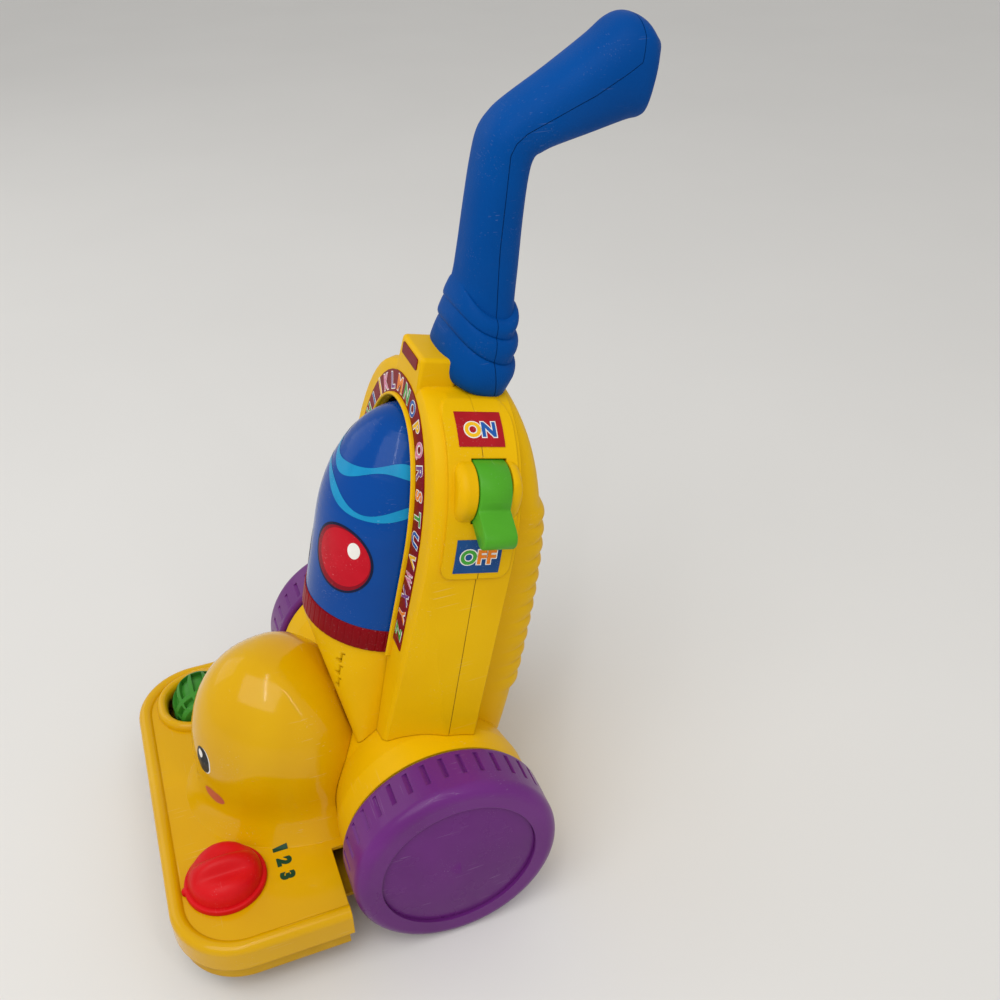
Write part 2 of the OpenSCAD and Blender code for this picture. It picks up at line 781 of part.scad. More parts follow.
module dial_knob() {
    color(bright_red) translate([dial_x, -dial_ahead, deck_z + seat_gap]) {
        cylinder(r = dial_r, h = dial_flange_t);
        rotate_extrude() intersection() {
            square([dial_body_r, dial_body_h]);
            translate([0, dial_body_h - dial_crown_r()]) circle(dial_crown_r(), $fn = fine_fn);
        }
        rotate([0, 0, dial_turn]) {
            translate([0, dial_ridge_w / 2, 0]) rotate([90, 0, 0]) linear_extrude(dial_ridge_w)
                intersection() {
                translate([-dial_body_r, 0]) square([2 * dial_body_r, dial_ridge_h]);
                translate([0, dial_ridge_h - dial_body_r]) circle(dial_body_r);
            }
            translate([dial_r, 0, 0]) cylinder(r = dial_bead_r, h = dial_flange_t);
        }
        translate([0, 0, -dial_stem_len]) cylinder(r = dial_stem_r, h = dial_stem_len + overrun);
    }
}
function dial_crown_r() = (pow(dial_body_r, 2) + pow(dial_body_h, 2)) / (2 * dial_body_h);

module dial_washer() {
    z = deck_z - wall - seat_gap - dial_washer_t;
    color(dark) translate([dial_x, -dial_ahead, z]) difference() {
        cylinder(r = dial_washer_r, h = dial_washer_t);
        translate([0, 0, -overrun]) cylinder(r = dial_stem_r, h = dial_washer_t + 2 * overrun);
    }
}

// Nose roller

module roller_place() { translate([-roller_x, -roller_ahead, roller_z]) along_x() children(); }
function barrel_r() = (pow(roller_len / 2, 2) + pow(roller_r - roller_end_r, 2)) /
    (2 * (roller_r - roller_end_r));

module barrel_profile(inset) {
    intersection() {
        translate([0, -roller_len / 2 + inset]) square([roller_r, roller_len - 2 * inset]);
        translate([roller_r - barrel_r(), 0]) circle(barrel_r() - inset, $fn = fine_fn);
    }
}

// A barrel with a closed core, on which long ribs and a cross ring stand proud
ring_share = 0.25;
module nose_roller() {
    gap_w = 2 * PI * roller_r / roller_ribs - roller_rib_w;
    low = -roller_len / 2 + roller_ring_w;
    ring_at = roller_len * ring_share;
    color(green) roller_place() difference() {
        rotate_extrude() difference() {
            barrel_profile(0);
            barrel_profile(roller_rib_h + roller_wall);
            translate([0, -roller_len]) square([roller_pin_r + run_fit, 2 * roller_len]);
        }
        difference() {
            for (i = [0 : roller_ribs - 1]) rotate([0, 0, i * 360 / roller_ribs])
                translate([0, -gap_w / 2, 0]) {
                translate([0, 0, low]) cube([roller_r, gap_w, ring_at - low - roller_ring_w / 2]);
                translate([0, 0, ring_at + roller_ring_w / 2])
                    cube([roller_r, gap_w, roller_len / 2 - roller_ring_w - ring_at - roller_ring_w / 2]);
            }
            rotate_extrude() barrel_profile(roller_rib_h);
        }
    }
}

cradle_t = 2.4;
cradle_half_w = 6;
module nose_roller_pin() {
    half = roller_len / 2 + turn_gap + cradle_t;
    color(steel) roller_place() translate([0, 0, -half]) cylinder(r = roller_pin_r, h = 2 * half);
}

module roller_cradle() {
    side = roller_len / 2 + turn_gap;
    color(dark) difference() {
        for (m = [0, 1]) translate([-roller_x, -roller_ahead - cradle_half_w, pan_top]) mirror([m, 0, 0])
            translate([side, 0, 0]) {
                cube([cradle_t, 2 * cradle_half_w, roller_z - pan_top + 2 * roller_pin_r]);
                cube([2 * cradle_t, 2 * cradle_half_w, cradle_t]);
            }
        roller_place() translate([0, 0, -roller_len]) cylinder(r = roller_pin_r, h = 2 * roller_len);
    }
}

// Upright
edge_share = 0.3;

// One outline of the upright at a depth behind the frame
function upright_ring(half, foot, inset, d) = [for (q = upright_outline(half, foot, inset)) [q[0], d, q[1]]];

// The upright's full form ahead of the bag, drawn in by an inset, from its back to its rounded front edge
module upright_form(inset) {
    f = inset - upright_front;
    edge = upright_edge_r * edge_share;
    loft([upright_ring(upright_seam_half, seam_foot_half, inset, 2 * flare_depth),
        upright_ring(upright_seam_half, seam_foot_half, inset, flare_depth),
        upright_ring(upright_half_w, upright_foot_half, inset, f + upright_edge_r),
        upright_ring(upright_half_w, upright_foot_half, inset + edge, f + edge),
        upright_ring(upright_half_w, upright_foot_half, inset + upright_edge_r, f)]);
}

// The half spaces ahead of a depth and ahead of the seam
module ahead_of(d) { translate([-reach / 2, d - reach, -reach / 2]) cube(reach); }
module on_seam() { translate([0, seam_depth, 0]) rotate([seam_lean, 0, 0]) children(); }
module ahead_of_seam() { on_seam() ahead_of(0); }

// The raised field around the switch, on the right side only
module switch_field_window(margin) {
    translate([0, field_front + field_depth / 2, (field_low + field_high) / 2]) rotate([90, 0, 90])
        linear_extrude(reach)
            round_rect(field_depth + 2 * margin, field_high - field_low + 2 * margin, field_corner_r);
}

module upright_outside() {
    upright_form(0);
    intersection() {
        upright_form(-field_h);
        switch_field_window(0);
    }
    translate([-block_half_w, -upright_front, arch_spring])
        cube([2 * block_half_w, block_depth, block_top - arch_spring]);
}

module drum_window() {
    translate([0, upright_front, 0]) from_front() linear_extrude(2 * upright_front + overrun) {
        polygon(window_outline(0, shelf_top));
        polygon([[neck_r + seat_gap, shelf_top + overrun], [-neck_r - seat_gap, shelf_top + overrun],
            [-neck_foot_half - seat_gap, -upright_foot - overrun],
                [neck_foot_half + seat_gap, -upright_foot - overrun]]);
    }
}

// The slot in which the switch drum and its hubs sit
module switch_axis() { translate([switch_x, lever_front, switch_w]) rotate([-90, 0, 0]) children(); }
module switch_slot() {
    switch_axis() translate([0, 0, -turn_gap])
        cylinder(r = switch_r + turn_gap, h = lever_len + 2 * turn_gap);
}
module switch_pin_bore() {
    switch_axis() translate([0, 0, -hub_len])
        cylinder(r = switch_pin_r, h = hub_len + lever_len + rear_hub_len);
}

// Where the handle's post leaves the upright, and how far it is sunk into it
post_lean = 10;
post_y = 57;
post_z = 300;
post_sink = 18;
module post_place() { translate([0, post_y, post_z]) rotate([-post_lean, 0, 0]) children(); }
module post_hole() { post_place() translate([0, 0, -post_len])
    cylinder(r = post_r + seat_gap, h = 3 * post_len); }

// A moulded cheek beside the lever, bored for the switch pin
module switch_hub(l) {
    rotate_extrude() difference() {
        intersection() {
            translate([0, turn_gap]) square([hub_r, l - turn_gap]);
            union() {
                square([hub_r, l - hub_round_r]);
                square([hub_r - hub_round_r, l]);
                translate([hub_r - hub_round_r, l - hub_round_r]) circle(hub_round_r);
            }
        }
        square([switch_pin_r, l + overrun]);
    }
}

module upright_front_shell() {
    color(yellow) difference() {
        upright_frame() {
            difference() {
                intersection() {
                    upright_outside();
                    ahead_of_seam();
                }
                upright_form(wall);
                drum_window();
                switch_slot();
                switch_pin_bore();
            }
            switch_axis() mirror([0, 0, 1]) switch_hub(hub_len);
        }
        at_axle() rotate_extrude() housing_profile(-seat_gap);
    }
}

// Depth of the bag behind the seam, its half width and its ribs at a height over the frame
bag_power = 2.3;
function bag_curve(w, inset) = let (q = abs(w + bag_drop) / (bag_half_h - inset))
    (bag_depth - inset) * pow(max(0, 1 - pow(q, bag_power)), 1 / bag_power);
function bag_side(w, inset) = let (q = max(0, w - arch_spring) / (arch_rise - inset))
    max(slice_t, (bag_half_w - inset) * pow(max(0, 1 - pow(q, arch_power)), 1 / arch_power));
function bag_rib(w) = let (u = (w + bag_rib_start) / bag_rib_pitch)
    u < 0 || u > bag_ribs ? 0 : bag_rib_h * abs(sin(180 * u));

// Levels of the bag: its plain foot, the ribs in equal steps and the arch above them
rib_steps = 3;
bag_top_steps = 8;
bag_rib_top = bag_ribs * bag_rib_pitch - bag_rib_start;
function bag_levels(inset, steps) = let (low = asin((bag_rib_top - arch_spring) / arch_rise)) concat(
    [-upright_foot, -(upright_foot + bag_rib_start) / 2],
    [for (i = [0 : bag_ribs * steps]) -bag_rib_start + i * bag_rib_pitch / steps],
    [for (i = [1 : bag_top_steps]) arch_spring + (arch_rise - inset) *
        sin(low + (90 - low) * i / bag_top_steps)]);

// One level of the bag: a squarish half oval that starts ahead of the seam
bag_points = 12;
bag_corner_power = 6;
function bag_ring(w, inset, rib_share) = let (
        side = bag_side(w, inset),
        deep = bag_curve(w, inset) + rib_share * bag_rib(w))
    concat([[side, -wall, w]],
        [for (i = [0 : bag_points]) let (t = 180 * i / bag_points)
            [side * sgn_pow(cos(t), 2 / bag_corner_power), deep * pow(sin(t), 2 / bag_corner_power), w]],
        [[-side, -wall, w]]);

module bag_form(inset, rib_share) {
    steps = rib_share > 0 ? rib_steps : 1;
    on_seam() loft([for (w = bag_levels(inset, steps)) bag_ring(w, inset, rib_share)]);
}

module upright_rear_shell() {
    color(yellow) difference() {
        upright_frame() {
            difference() {
                union() {
                    intersection() {
                        upright_outside();
                        ahead_of(flange_rear);
                    }
                    bag_form(0, 1);
                }
                ahead_of_seam();
                intersection() {
                    upright_form(wall);
                    ahead_of(flange_rear - wall);
                }
                bag_form(wall, 0);
                switch_slot();
                switch_pin_bore();
            }
            switch_axis() translate([0, 0, lever_len]) switch_hub(rear_hub_len);
        }
        at_axle() rotate_extrude() housing_profile(-seat_gap);
        post_hole();
    }
}

module letter_band() {
    color(red) upright_frame() translate([0, -upright_front, 0]) from_front()
        linear_extrude(band_t) difference() {
        polygon(window_outline(window_lip + band_w, shelf_top + collar_h));
        polygon(window_outline(window_lip, shelf_top - overrun));
    }
}

plate_margin = 2.5;
plate_h = 9;
module top_plate() {
    color(red) upright_frame() translate([0, -upright_front, block_top - plate_margin - plate_h / 2])
        from_front()
        linear_extrude(band_t) square([2 * (block_half_w - plate_margin), plate_h], center = true);
}

// Neck under the drum, with its shelf, sound holes and loudspeaker

module neck_form(inset) {
    hull() {
        translate([0, drum_depth, shelf_top - shelf_t - (inset > 0 ? slice_t : 0)])
            cylinder(r = neck_r - inset, h = inset > 0 ? slice_t : shelf_t);
        translate([-neck_foot_half + inset, -neck_foot_front + inset, -upright_foot - inset])
            cube([2 * (neck_foot_half - inset), neck_foot_front + neck_foot_rear - 2 * inset, slice_t
                + inset]);
    }
}

// Middle of the neck's front wall, with Z pointing into the neck
module speaker_axis() {
    translate([0, (drum_depth - neck_r - neck_foot_front) / 2, (shelf_top - shelf_t - upright_foot) / 2])
        rotate([neck_turn - 90, 0, 0]) children();
}
speaker_set = 8;

module sound_hole() {
    circle(sound_head_r);
    translate([sound_head_r - sound_stem_w, 0]) square([sound_stem_w, sound_stem]);
    translate([sound_head_r - sound_stem_w, sound_stem - sound_stem_w])
        square([2 * sound_stem_w, sound_stem_w]);
}

module speaker_seat() {
    intersection() {
        neck_form(0);
        speaker_axis() translate([0, 0, -speaker_set]) difference() {
            cylinder(r = speaker_r, h = 2 * speaker_set);
            translate([0, 0, -overrun]) cylinder(r = speaker_r - wall, h = 2 * (speaker_set + overrun));
        }
    }
}

module neck_panel() {
    color(yellow) difference() {
        upright_frame() difference() {
            union() {
                difference() {
                    neck_form(0);
                    neck_form(wall);
                    translate([-reach / 2, neck_foot_rear - 2 * wall, -reach + shelf_top - shelf_t])
                        cube(reach);
                }
                speaker_seat();
            }
            translate([0, drum_depth, shelf_top - shelf_t - overrun])
                cylinder(r = spindle_r, h = shelf_t + 2 * overrun);
            for (i = [0 : sound_holes - 1])
                translate([neck_foot_half * sound_x_share, 0, shelf_top - shelf_t - sound_pitch *
                    (i + 1)])
                    from_front() linear_extrude(reach) sound_hole();
        }
        at_axle() rotate_extrude() housing_profile(-seat_gap);
    }
}
sound_x_share = 0.62;

module loudspeaker() {
    color(dark) upright_frame() speaker_axis() translate([0, 0, speaker_set])
        cylinder(r = speaker_r, h = speaker_t);
}

// Drum with its collar, spindle and bearing

module drum_frame() { upright_frame() translate([0, drum_depth, 0]) children(); }
crown_steps = 20;
function crown(r, h, low) =
    [for (i = [0 : crown_steps]) let (t = 90 * i / crown_steps) [r * cos(t), low + h * sin(t)]];
drum_joint = -drum_foot + collar_h;

module drum_half(inset) {
    polygon(concat([[0, drum_joint - (inset > 0 ? overrun : 0)],
        [drum_r - inset, drum_joint - (inset > 0 ? overrun : 0)]],
        crown(drum_r - inset, drum_crown_h - inset, drum_crown_start)));
}

module drum_dome() {
    color(blue) drum_frame() rotate_extrude() difference() {
        drum_half(0);
        difference() {
            drum_half(wall);
            translate([0, drum_crown_start + drum_crown_h - 4 * wall])
                square([spindle_r + 2 * wall, 4 * wall]);
        }
        translate([0, drum_joint - overrun]) square([spindle_r + run_fit, reach]);
    }
}

module drum_collar() {
    rib_w = PI * collar_r / collar_ribs;
    color(red) drum_frame() difference() {
        union() {
            translate([0, 0, -drum_foot]) rotate_extrude() {
                translate([drum_r - 2 * wall, 0]) square([2 * wall, collar_h]);
                square([drum_r, wall]);
                square([spindle_r + 2 * wall, collar_h]);
            }
            for (i = [0 : collar_ribs - 1]) rotate([0, 0, i * 360 / collar_ribs])
                translate([drum_r - wall, -rib_w / 2, -drum_foot])
                    cube([wall + collar_lip, rib_w, collar_h]);
        }
        translate([0, 0, -drum_foot - overrun])
            cylinder(r = spindle_r + run_fit, h = collar_h + 2 * overrun);
    }
}

bearing_t = 4;
spindle_top = drum_crown_start + drum_crown_h + turn_gap + bearing_t;
module drum_spindle() {
    low = shelf_top - shelf_t;
    color(steel) drum_frame() translate([0, 0, low]) cylinder(r = spindle_r, h = spindle_top - low);
}

module drum_bearing() {
    front = inner_front + seat_gap;
    color(deep_yellow) upright_frame() difference() {
        translate([-block_half_w / 2, front, spindle_top - bearing_t])
            cube([block_half_w, block_half_w, bearing_t]);
        translate([0, drum_depth, spindle_top - bearing_t - overrun])
            cylinder(r = spindle_r, h = bearing_t + 2 * overrun);
    }
}

// Switch

module switch_lever() {
    color(green) upright_frame() switch_axis() linear_extrude(lever_len) difference() {
        union() {
            circle(switch_r);
            rotate(tab_angle) translate([0, -tab_t / 2]) square([tab_reach - tab_t / 2, tab_t]);
            rotate(tab_angle) translate([tab_reach - tab_t / 2, 0]) circle(tab_t / 2);
        }
        circle(switch_pin_r + run_fit);
    }
}

module switch_pin() {
    color(steel) upright_frame() switch_axis() translate([0, 0, -hub_len + wall])
        cylinder(r = switch_pin_r, h = hub_len + lever_len + rear_hub_len - 2 * wall);
}

module switch_label(w, h) {
    upright_frame() intersection() {
        difference() {
            upright_form(-field_h - label_t);
            upright_form(-field_h);
        }
        translate([0, field_front + field_depth / 2 - label_w / 2, w]) cube([reach, label_w, h]);
    }
}
module on_label() { color(red) switch_label(on_label_low, on_label_h); }
module off_label() { color(blue) switch_label(off_label_low, off_label_h); }

// Handle in two half shells

// The bellows and the stem keep their depth, and the reach of the grip takes up what the run adds
stem_run = 118;
bend_share = 0.45;
function handle_y(share) = handle_front + min(share, bend_share) * stem_run
    + max(0, share - bend_share) * (handle_run - bend_share * stem_run) / (1 - bend_share);

// Front edge and back edge as shares of run and rise, half width as a share of the widest ring, and how far the
// sides hang below the middle as a share of the rise, for each station from the bellows up
handle_stations_shares = [
    [0.060, 0.145, 0.300, 0.025, 0.800, 0.050],
    [0.033, 0.208, 0.332, 0.097, 1.000, 0.075],
    [0.056, 0.243, 0.328, 0.132, 0.920, 0.066],
    [0.061, 0.274, 0.349, 0.171, 0.950, 0.058],
    [0.081, 0.297, 0.341, 0.205, 0.840, 0.045],
    [0.086, 0.321, 0.356, 0.237, 0.830, 0.036],
    [0.113, 0.361, 0.349, 0.282, 0.630, 0.014],
    [0.138, 0.428, 0.380, 0.382, 0.565, 0.000],
    [0.169, 0.538, 0.403, 0.515, 0.550, 0.000],
    [0.206, 0.657, 0.427, 0.620, 0.550, 0.000],
    [0.242, 0.735, 0.449, 0.667, 0.565, 0.000],
    [0.298, 0.781, 0.484, 0.679, 0.575, 0.000],
    [0.371, 0.815, 0.542, 0.690, 0.580, 0.000],
    [0.533, 0.874, 0.684, 0.709, 0.600, 0.000],
    [0.714, 0.944, 0.842, 0.732, 0.645, 0.000],
    [0.803, 0.976, 0.918, 0.740, 0.675, 0.000],
    [0.881, 0.984, 0.959, 0.766, 0.660, 0.000],
    [0.935, 0.966, 0.987, 0.815, 0.580, 0.000],
    [0.979, 0.935, 0.998, 0.876, 0.420, 0.000]];
handle_points = 24;
handle_power = 2.5;

function handle_ring(s, inset) = let (
        fy = handle_y(s[0]),
        fz = handle_low_z + s[1] * handle_rise,
        by = handle_y(s[2]),
        bz = handle_low_z + s[3] * handle_rise,
        deep = norm([by - fy, bz - fz]) / 2,
        shrink = (deep - inset) / deep,
        half = s[4] * handle_half_w - inset)
    [for (i = [0 : handle_points - 1]) let (t = 360 * i / handle_points,
            c = sgn_pow(cos(t), 2 / handle_power) * shrink)
        [-half * sgn_pow(sin(t), 2 / handle_power), (fy + by) / 2 + c * (by - fy) / 2,
            (fz + bz) / 2 + c * (bz - fz) / 2 - s[5] * handle_rise * pow(sin(t), 2)]];

module handle_skin() { loft([for (s = handle_stations_shares) handle_ring(s, 0)]); }
// The hollow follows the creases of the bellows and stops short of the grip's end
hollow_stations = [0, 2, 4, 6, 7, 8, 9, 10, 11, 12, 13, 14, 15, 16];
module handle_hollow() { loft([for (i = hollow_stations) handle_ring(handle_stations_shares[i], wall)]); }

// The seam line on the handle's side, as shares of run and rise, carried on past both ends
seam_shares = [[0.20, -0.3], [0.20, 0.16], [0.240, 0.29], [0.264, 0.454], [0.292, 0.584], [0.314, 0.697],
    [0.338, 0.724], [0.383, 0.746], [0.506, 0.778], [0.671, 0.822], [0.794, 0.865], [0.86, 0.892],
    [0.882, 0.95], [0.885, 1.1]];
function on_handle(p) = [handle_y(p[0]), handle_low_z + p[1] * handle_rise];

module handle_front_region() {
    line = [for (p = seam_shares) on_handle(p)];
    translate([-reach / 2, 0, 0]) rotate([90, 0, 90]) linear_extrude(reach)
        polygon(concat(line, [[-reach, line[len(line) - 1][1]], [-reach, line[0][1]]]));
}

// The room the upright takes under the handle
module upright_room() {
    intersection() {
        upright_form(-seat_gap);
        ahead_of(flange_rear + seat_gap);
    }
    bag_form(-seat_gap, 0);
    intersection() {
        upright_form(-field_h - seat_gap);
        switch_field_window(seat_gap);
        ahead_of(flange_rear + seat_gap);
    }
    translate([-block_half_w - seat_gap, -upright_front - overrun, arch_spring])
        cube([2 * (block_half_w + seat_gap), block_depth + overrun + seat_gap, block_top - arch_spring
            + seat_gap]);
}

module handle_shell() {
    difference() {
        handle_skin();
        handle_hollow();
        upright_frame() upright_room();
    }
}

module handle_front_half() {
    color(blue) intersection() {
        handle_shell();
        handle_front_region();
    }
}

module handle_rear_half() {
    color(blue) difference() {
        handle_shell();
        handle_front_region();
    }
}

module handle_post() { color(dark) post_place() translate([0, 0, -post_sink])
    cylinder(r = post_r, h = post_len); }

nose_shell();
underside_pan();
wheel_housing();
right_wheel();
right_wheel_disc();
left_wheel();
left_wheel_disc();
axle();
axle_nuts();
right_front_roller();
left_front_roller();
front_roller_pins();
dial_knob();
dial_washer();
nose_roller();
nose_roller_pin();
roller_cradle();
upright_front_shell();
upright_rear_shell();
letter_band();
top_plate();
neck_panel();
loudspeaker();
drum_dome();
drum_collar();
drum_spindle();
drum_bearing();
switch_lever();
switch_pin();
on_label();
off_label();
handle_front_half();
handle_rear_half();
handle_post();
battery_tray();
battery_cells();
battery_door();
circuit_board();
nose_screws();
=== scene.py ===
import math

import bmesh
import bpy
from mathutils import Matrix, Vector
from mathutils.bvhtree import BVHTree


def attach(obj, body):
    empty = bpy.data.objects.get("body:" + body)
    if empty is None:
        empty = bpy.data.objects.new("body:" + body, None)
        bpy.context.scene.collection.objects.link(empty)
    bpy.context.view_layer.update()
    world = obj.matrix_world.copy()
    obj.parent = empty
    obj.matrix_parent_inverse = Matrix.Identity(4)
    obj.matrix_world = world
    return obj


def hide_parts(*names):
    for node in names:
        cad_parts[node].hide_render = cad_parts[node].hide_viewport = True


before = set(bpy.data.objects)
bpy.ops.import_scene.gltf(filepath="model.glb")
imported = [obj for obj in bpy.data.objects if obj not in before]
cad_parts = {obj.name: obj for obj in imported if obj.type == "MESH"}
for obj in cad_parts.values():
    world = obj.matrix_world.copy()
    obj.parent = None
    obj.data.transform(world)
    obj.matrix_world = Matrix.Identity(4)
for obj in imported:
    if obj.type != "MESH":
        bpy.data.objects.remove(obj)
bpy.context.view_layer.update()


# Underside pan: a flat tray of deep yellow polypropylene that closes the nose from below.
# It is injection moulded with two wells for the front rollers and an opening for the battery door,
# and four steel screws in sunk pockets draw it against the posts of the nose shell.
def tint(red, green, blue):
    def linear(level):
        share = level / 255
        return share / 12.92 if share <= 0.04045 else ((share + 0.055) / 1.055) ** 2.4
    return (linear(red), linear(green), linear(blue), 1.0)


def between(tree, share, first, second):
    mix = tree.nodes.new("ShaderNodeMix")
    mix.data_type = "RGBA"
    tree.links.new(share, mix.inputs[0])
    for spot, colour in ((6, first), (7, second)):
        if isinstance(colour, tuple):
            mix.inputs[spot].default_value = colour
        else:
            tree.links.new(colour, mix.inputs[spot])
    return mix.outputs[2]


def ramped(tree, value, low, high, bottom, top):
    span = tree.nodes.new("ShaderNodeMapRange")
    tree.links.new(value, span.inputs[0])
    for spot, level in enumerate((low, high, bottom, top), 1):
        span.inputs[spot].default_value = level
    return span.outputs[0]


def reckoned(tree, kind, first, second):
    sum_node = tree.nodes.new("ShaderNodeMath")
    sum_node.operation = kind
    for spot, value in enumerate((first, second)):
        if isinstance(value, float):
            sum_node.inputs[spot].default_value = value
        else:
            tree.links.new(value, sum_node.inputs[spot])
    return sum_node.outputs[0]


def shared_effect(name, inlets, outlets):
    group = bpy.data.node_groups.new(name, "ShaderNodeTree")
    for label, kind in inlets:
        group.interface.new_socket(label, in_out="INPUT", socket_type=kind)
    for label in outlets:
        group.interface.new_socket(label, in_out="OUTPUT", socket_type="NodeSocketFloat")
    return group, group.nodes.new("NodeGroupInput").outputs, group.nodes.new("NodeGroupOutput").inputs


def clouded(tree, place, scale, detail, wander=0.0):
    noise = tree.nodes.new("ShaderNodeTexNoise")
    tree.links.new(place, noise.inputs["Vector"])
    if isinstance(scale, float):
        noise.inputs["Scale"].default_value = scale
    else:
        tree.links.new(scale, noise.inputs["Scale"])
    noise.inputs["Detail"].default_value = detail
    noise.inputs["Distortion"].default_value = wander
    return noise.outputs["Fac"]


# The skin of a mould: a fine spark-eroded grain, slow flow marks in the colour and an uneven gloss.
mould_skin, skin_in, skin_out = shared_effect(
    "mould_skin",
    (("Place", "NodeSocketVector"), ("Grain", "NodeSocketFloat"), ("Flow", "NodeSocketFloat")),
    ("Height", "Mottle", "Gloss"))
mould_skin.links.new(clouded(mould_skin, skin_in["Place"], skin_in["Grain"], 3.0), skin_out["Height"])
flow_marks = clouded(mould_skin, skin_in["Place"], skin_in["Flow"], 2.0, 0.8)
mould_skin.links.new(ramped(mould_skin, flow_marks, 0.32, 0.72, 0.0, 1.0), skin_out["Mottle"])
finer_flow = reckoned(mould_skin, "MULTIPLY", skin_in["Flow"], 4.3)
mould_skin.links.new(clouded(mould_skin, skin_in["Place"], finer_flow, 5.0), skin_out["Gloss"])

# Marks of use: hair scratches that run in patches, and a thin film of dust and finger grime.
use_marks, use_in, use_out = shared_effect(
    "use_marks", (("Place", "NodeSocketVector"),), ("Scratch", "Grime"))
scratches = []
for turn, stretch, patch_scale in (((0.4, 0.2, 0.9), (30.0, 1500.0, 1500.0), 34.6),
                                   ((1.1, 0.7, 0.1), (1300.0, 26.0, 1300.0), 40.9)):
    drawn = use_marks.nodes.new("ShaderNodeMapping")
    drawn.inputs["Rotation"].default_value = turn
    drawn.inputs["Scale"].default_value = stretch
    use_marks.links.new(use_in["Place"], drawn.inputs["Vector"])
    streak = ramped(use_marks, clouded(use_marks, drawn.outputs[0], 1.0, 0.0), 0.74, 0.78, 0.0, 1.0)
    patch = ramped(use_marks, clouded(use_marks, use_in["Place"], patch_scale, 2.0), 0.52, 0.66, 0.0, 1.0)
    scratches.append(reckoned(use_marks, "MULTIPLY", streak, patch))
use_marks.links.new(reckoned(use_marks, "MAXIMUM", *scratches), use_out["Scratch"])
grime_film = clouded(use_marks, use_in["Place"], 21.0, 6.0, 0.4)
use_marks.links.new(ramped(use_marks, grime_film, 0.5, 0.78, 0.0, 1.0), use_out["Grime"])


def moulded(name, colour, deeper, rough, grain=1400.0, depth=0.03, flow=16.0, coat=0.0, scratch=0.35,
            grime=0.16, metal=0.0, shine=0.18, edge=0.0):
    finish = bpy.data.materials.new(name)
    finish.use_nodes = True
    tree = finish.node_tree
    shader = tree.nodes["Principled BSDF"]
    place = tree.nodes.new("ShaderNodeTexCoord").outputs["Object"]
    skin = tree.nodes.new("ShaderNodeGroup")
    skin.node_tree = mould_skin
    skin.inputs["Grain"].default_value = grain
    skin.inputs["Flow"].default_value = flow
    marks = tree.nodes.new("ShaderNodeGroup")
    marks.node_tree = use_marks
    tree.links.new(place, skin.inputs["Place"])
    tree.links.new(place, marks.inputs["Place"])
    base = between(tree, skin.outputs["Mottle"], colour, deeper)
    dirt = tuple(0.62 * level + 0.012 for level in colour[:3]) + (1.0,)
    base = between(tree, reckoned(tree, "MULTIPLY", marks.outputs["Grime"], grime), base, dirt)
    chafed = tuple(0.7 * level + 0.2 for level in colour[:3]) + (1.0,)
    worn = reckoned(tree, "MULTIPLY", marks.outputs["Scratch"], scratch)
    tree.links.new(between(tree, worn, base, chafed), shader.inputs["Base Color"])
    dull = ramped(tree, skin.outputs["Gloss"], 0.25, 0.75, rough * 0.86, rough * 1.16)
    dull = reckoned(tree, "ADD", dull, reckoned(tree, "MULTIPLY", marks.outputs["Grime"], 0.1))
    dull = reckoned(tree, "ADD", dull, reckoned(tree, "MULTIPLY", worn, 0.25))
    tree.links.new(dull, shader.inputs["Roughness"])
    bump = tree.nodes.new("ShaderNodeBump")
    bump.inputs["Strength"].default_value = depth
    bump.inputs["Distance"].default_value = 0.0006
    carved = reckoned(tree, "SUBTRACT", skin.outputs["Height"], reckoned(tree, "MULTIPLY", worn, 0.6))
    tree.links.new(carved, bump.inputs["Height"])
    if edge:
        rounded = tree.nodes.new("ShaderNodeBevel")
        rounded.samples = 6
        rounded.inputs["Radius"].default_value = edge
        tree.links.new(rounded.outputs["Normal"], bump.inputs["Normal"])
    tree.links.new(bump.outputs["Normal"], shader.inputs["Normal"])
    shader.inputs["Metallic"].default_value = metal
    shader.inputs["Specular IOR Level"].default_value = shine
    shader.inputs["Coat Weight"].default_value = coat
    shader.inputs["Coat Roughness"].default_value = 0.08
    return finish


def coat_nodes(finish, *nodes):
    for node in nodes:
        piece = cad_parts[node]
        if not piece.material_slots:
            piece.data.materials.append(finish)
        for seat in piece.material_slots:
            seat.material = finish


pan_yellow = moulded("pan_yellow", tint(206, 158, 2), tint(190, 142, 2), 0.48, grain=1900.0, depth=0.12,
                     grime=0.5)
plated_steel = moulded("plated_steel", tint(178, 178, 182), tint(150, 150, 156), 0.3, grain=2600.0,
                       depth=0.05, metal=1.0, scratch=0.6, grime=0.3)
coat_nodes(pan_yellow, "underside_pan", "battery_door")
coat_nodes(plated_steel, "nose_screws")

# Battery tray, cells and circuit board: a black moulded tray on the pan with three AA cells in printed
# sleeves, and a small green glass-fibre board beside it. The battery door closes them off from below.
board_black = moulded("board_black", tint(34, 34, 36), tint(26, 26, 28), 0.5, grain=1700.0, depth=0.1)
cell_sleeve = moulded("cell_sleeve", tint(52, 60, 66), tint(40, 46, 52), 0.3, depth=0.01, flow=40.0)
board_green = moulded("board_green", tint(28, 92, 54), tint(18, 74, 42), 0.35, grain=2400.0, depth=0.08,
                      flow=90.0)
coat_nodes(board_black, "battery_tray")
coat_nodes(cell_sleeve, "battery_cells")
coat_nodes(board_green, "circuit_board")

# Front rollers: two black rubbery rollers under the corners of the nose, each on a steel pin pressed
# through the ears of the pan. They are plain turned mouldings, dulled by the floor.
roller_black = moulded("roller_black", tint(40, 39, 40), tint(30, 29, 30), 0.62, grain=900.0, depth=0.2,
                       grime=0.6)
coat_nodes(roller_black, "right_front_roller", "left_front_roller")
coat_nodes(plated_steel, "front_roller_pins")

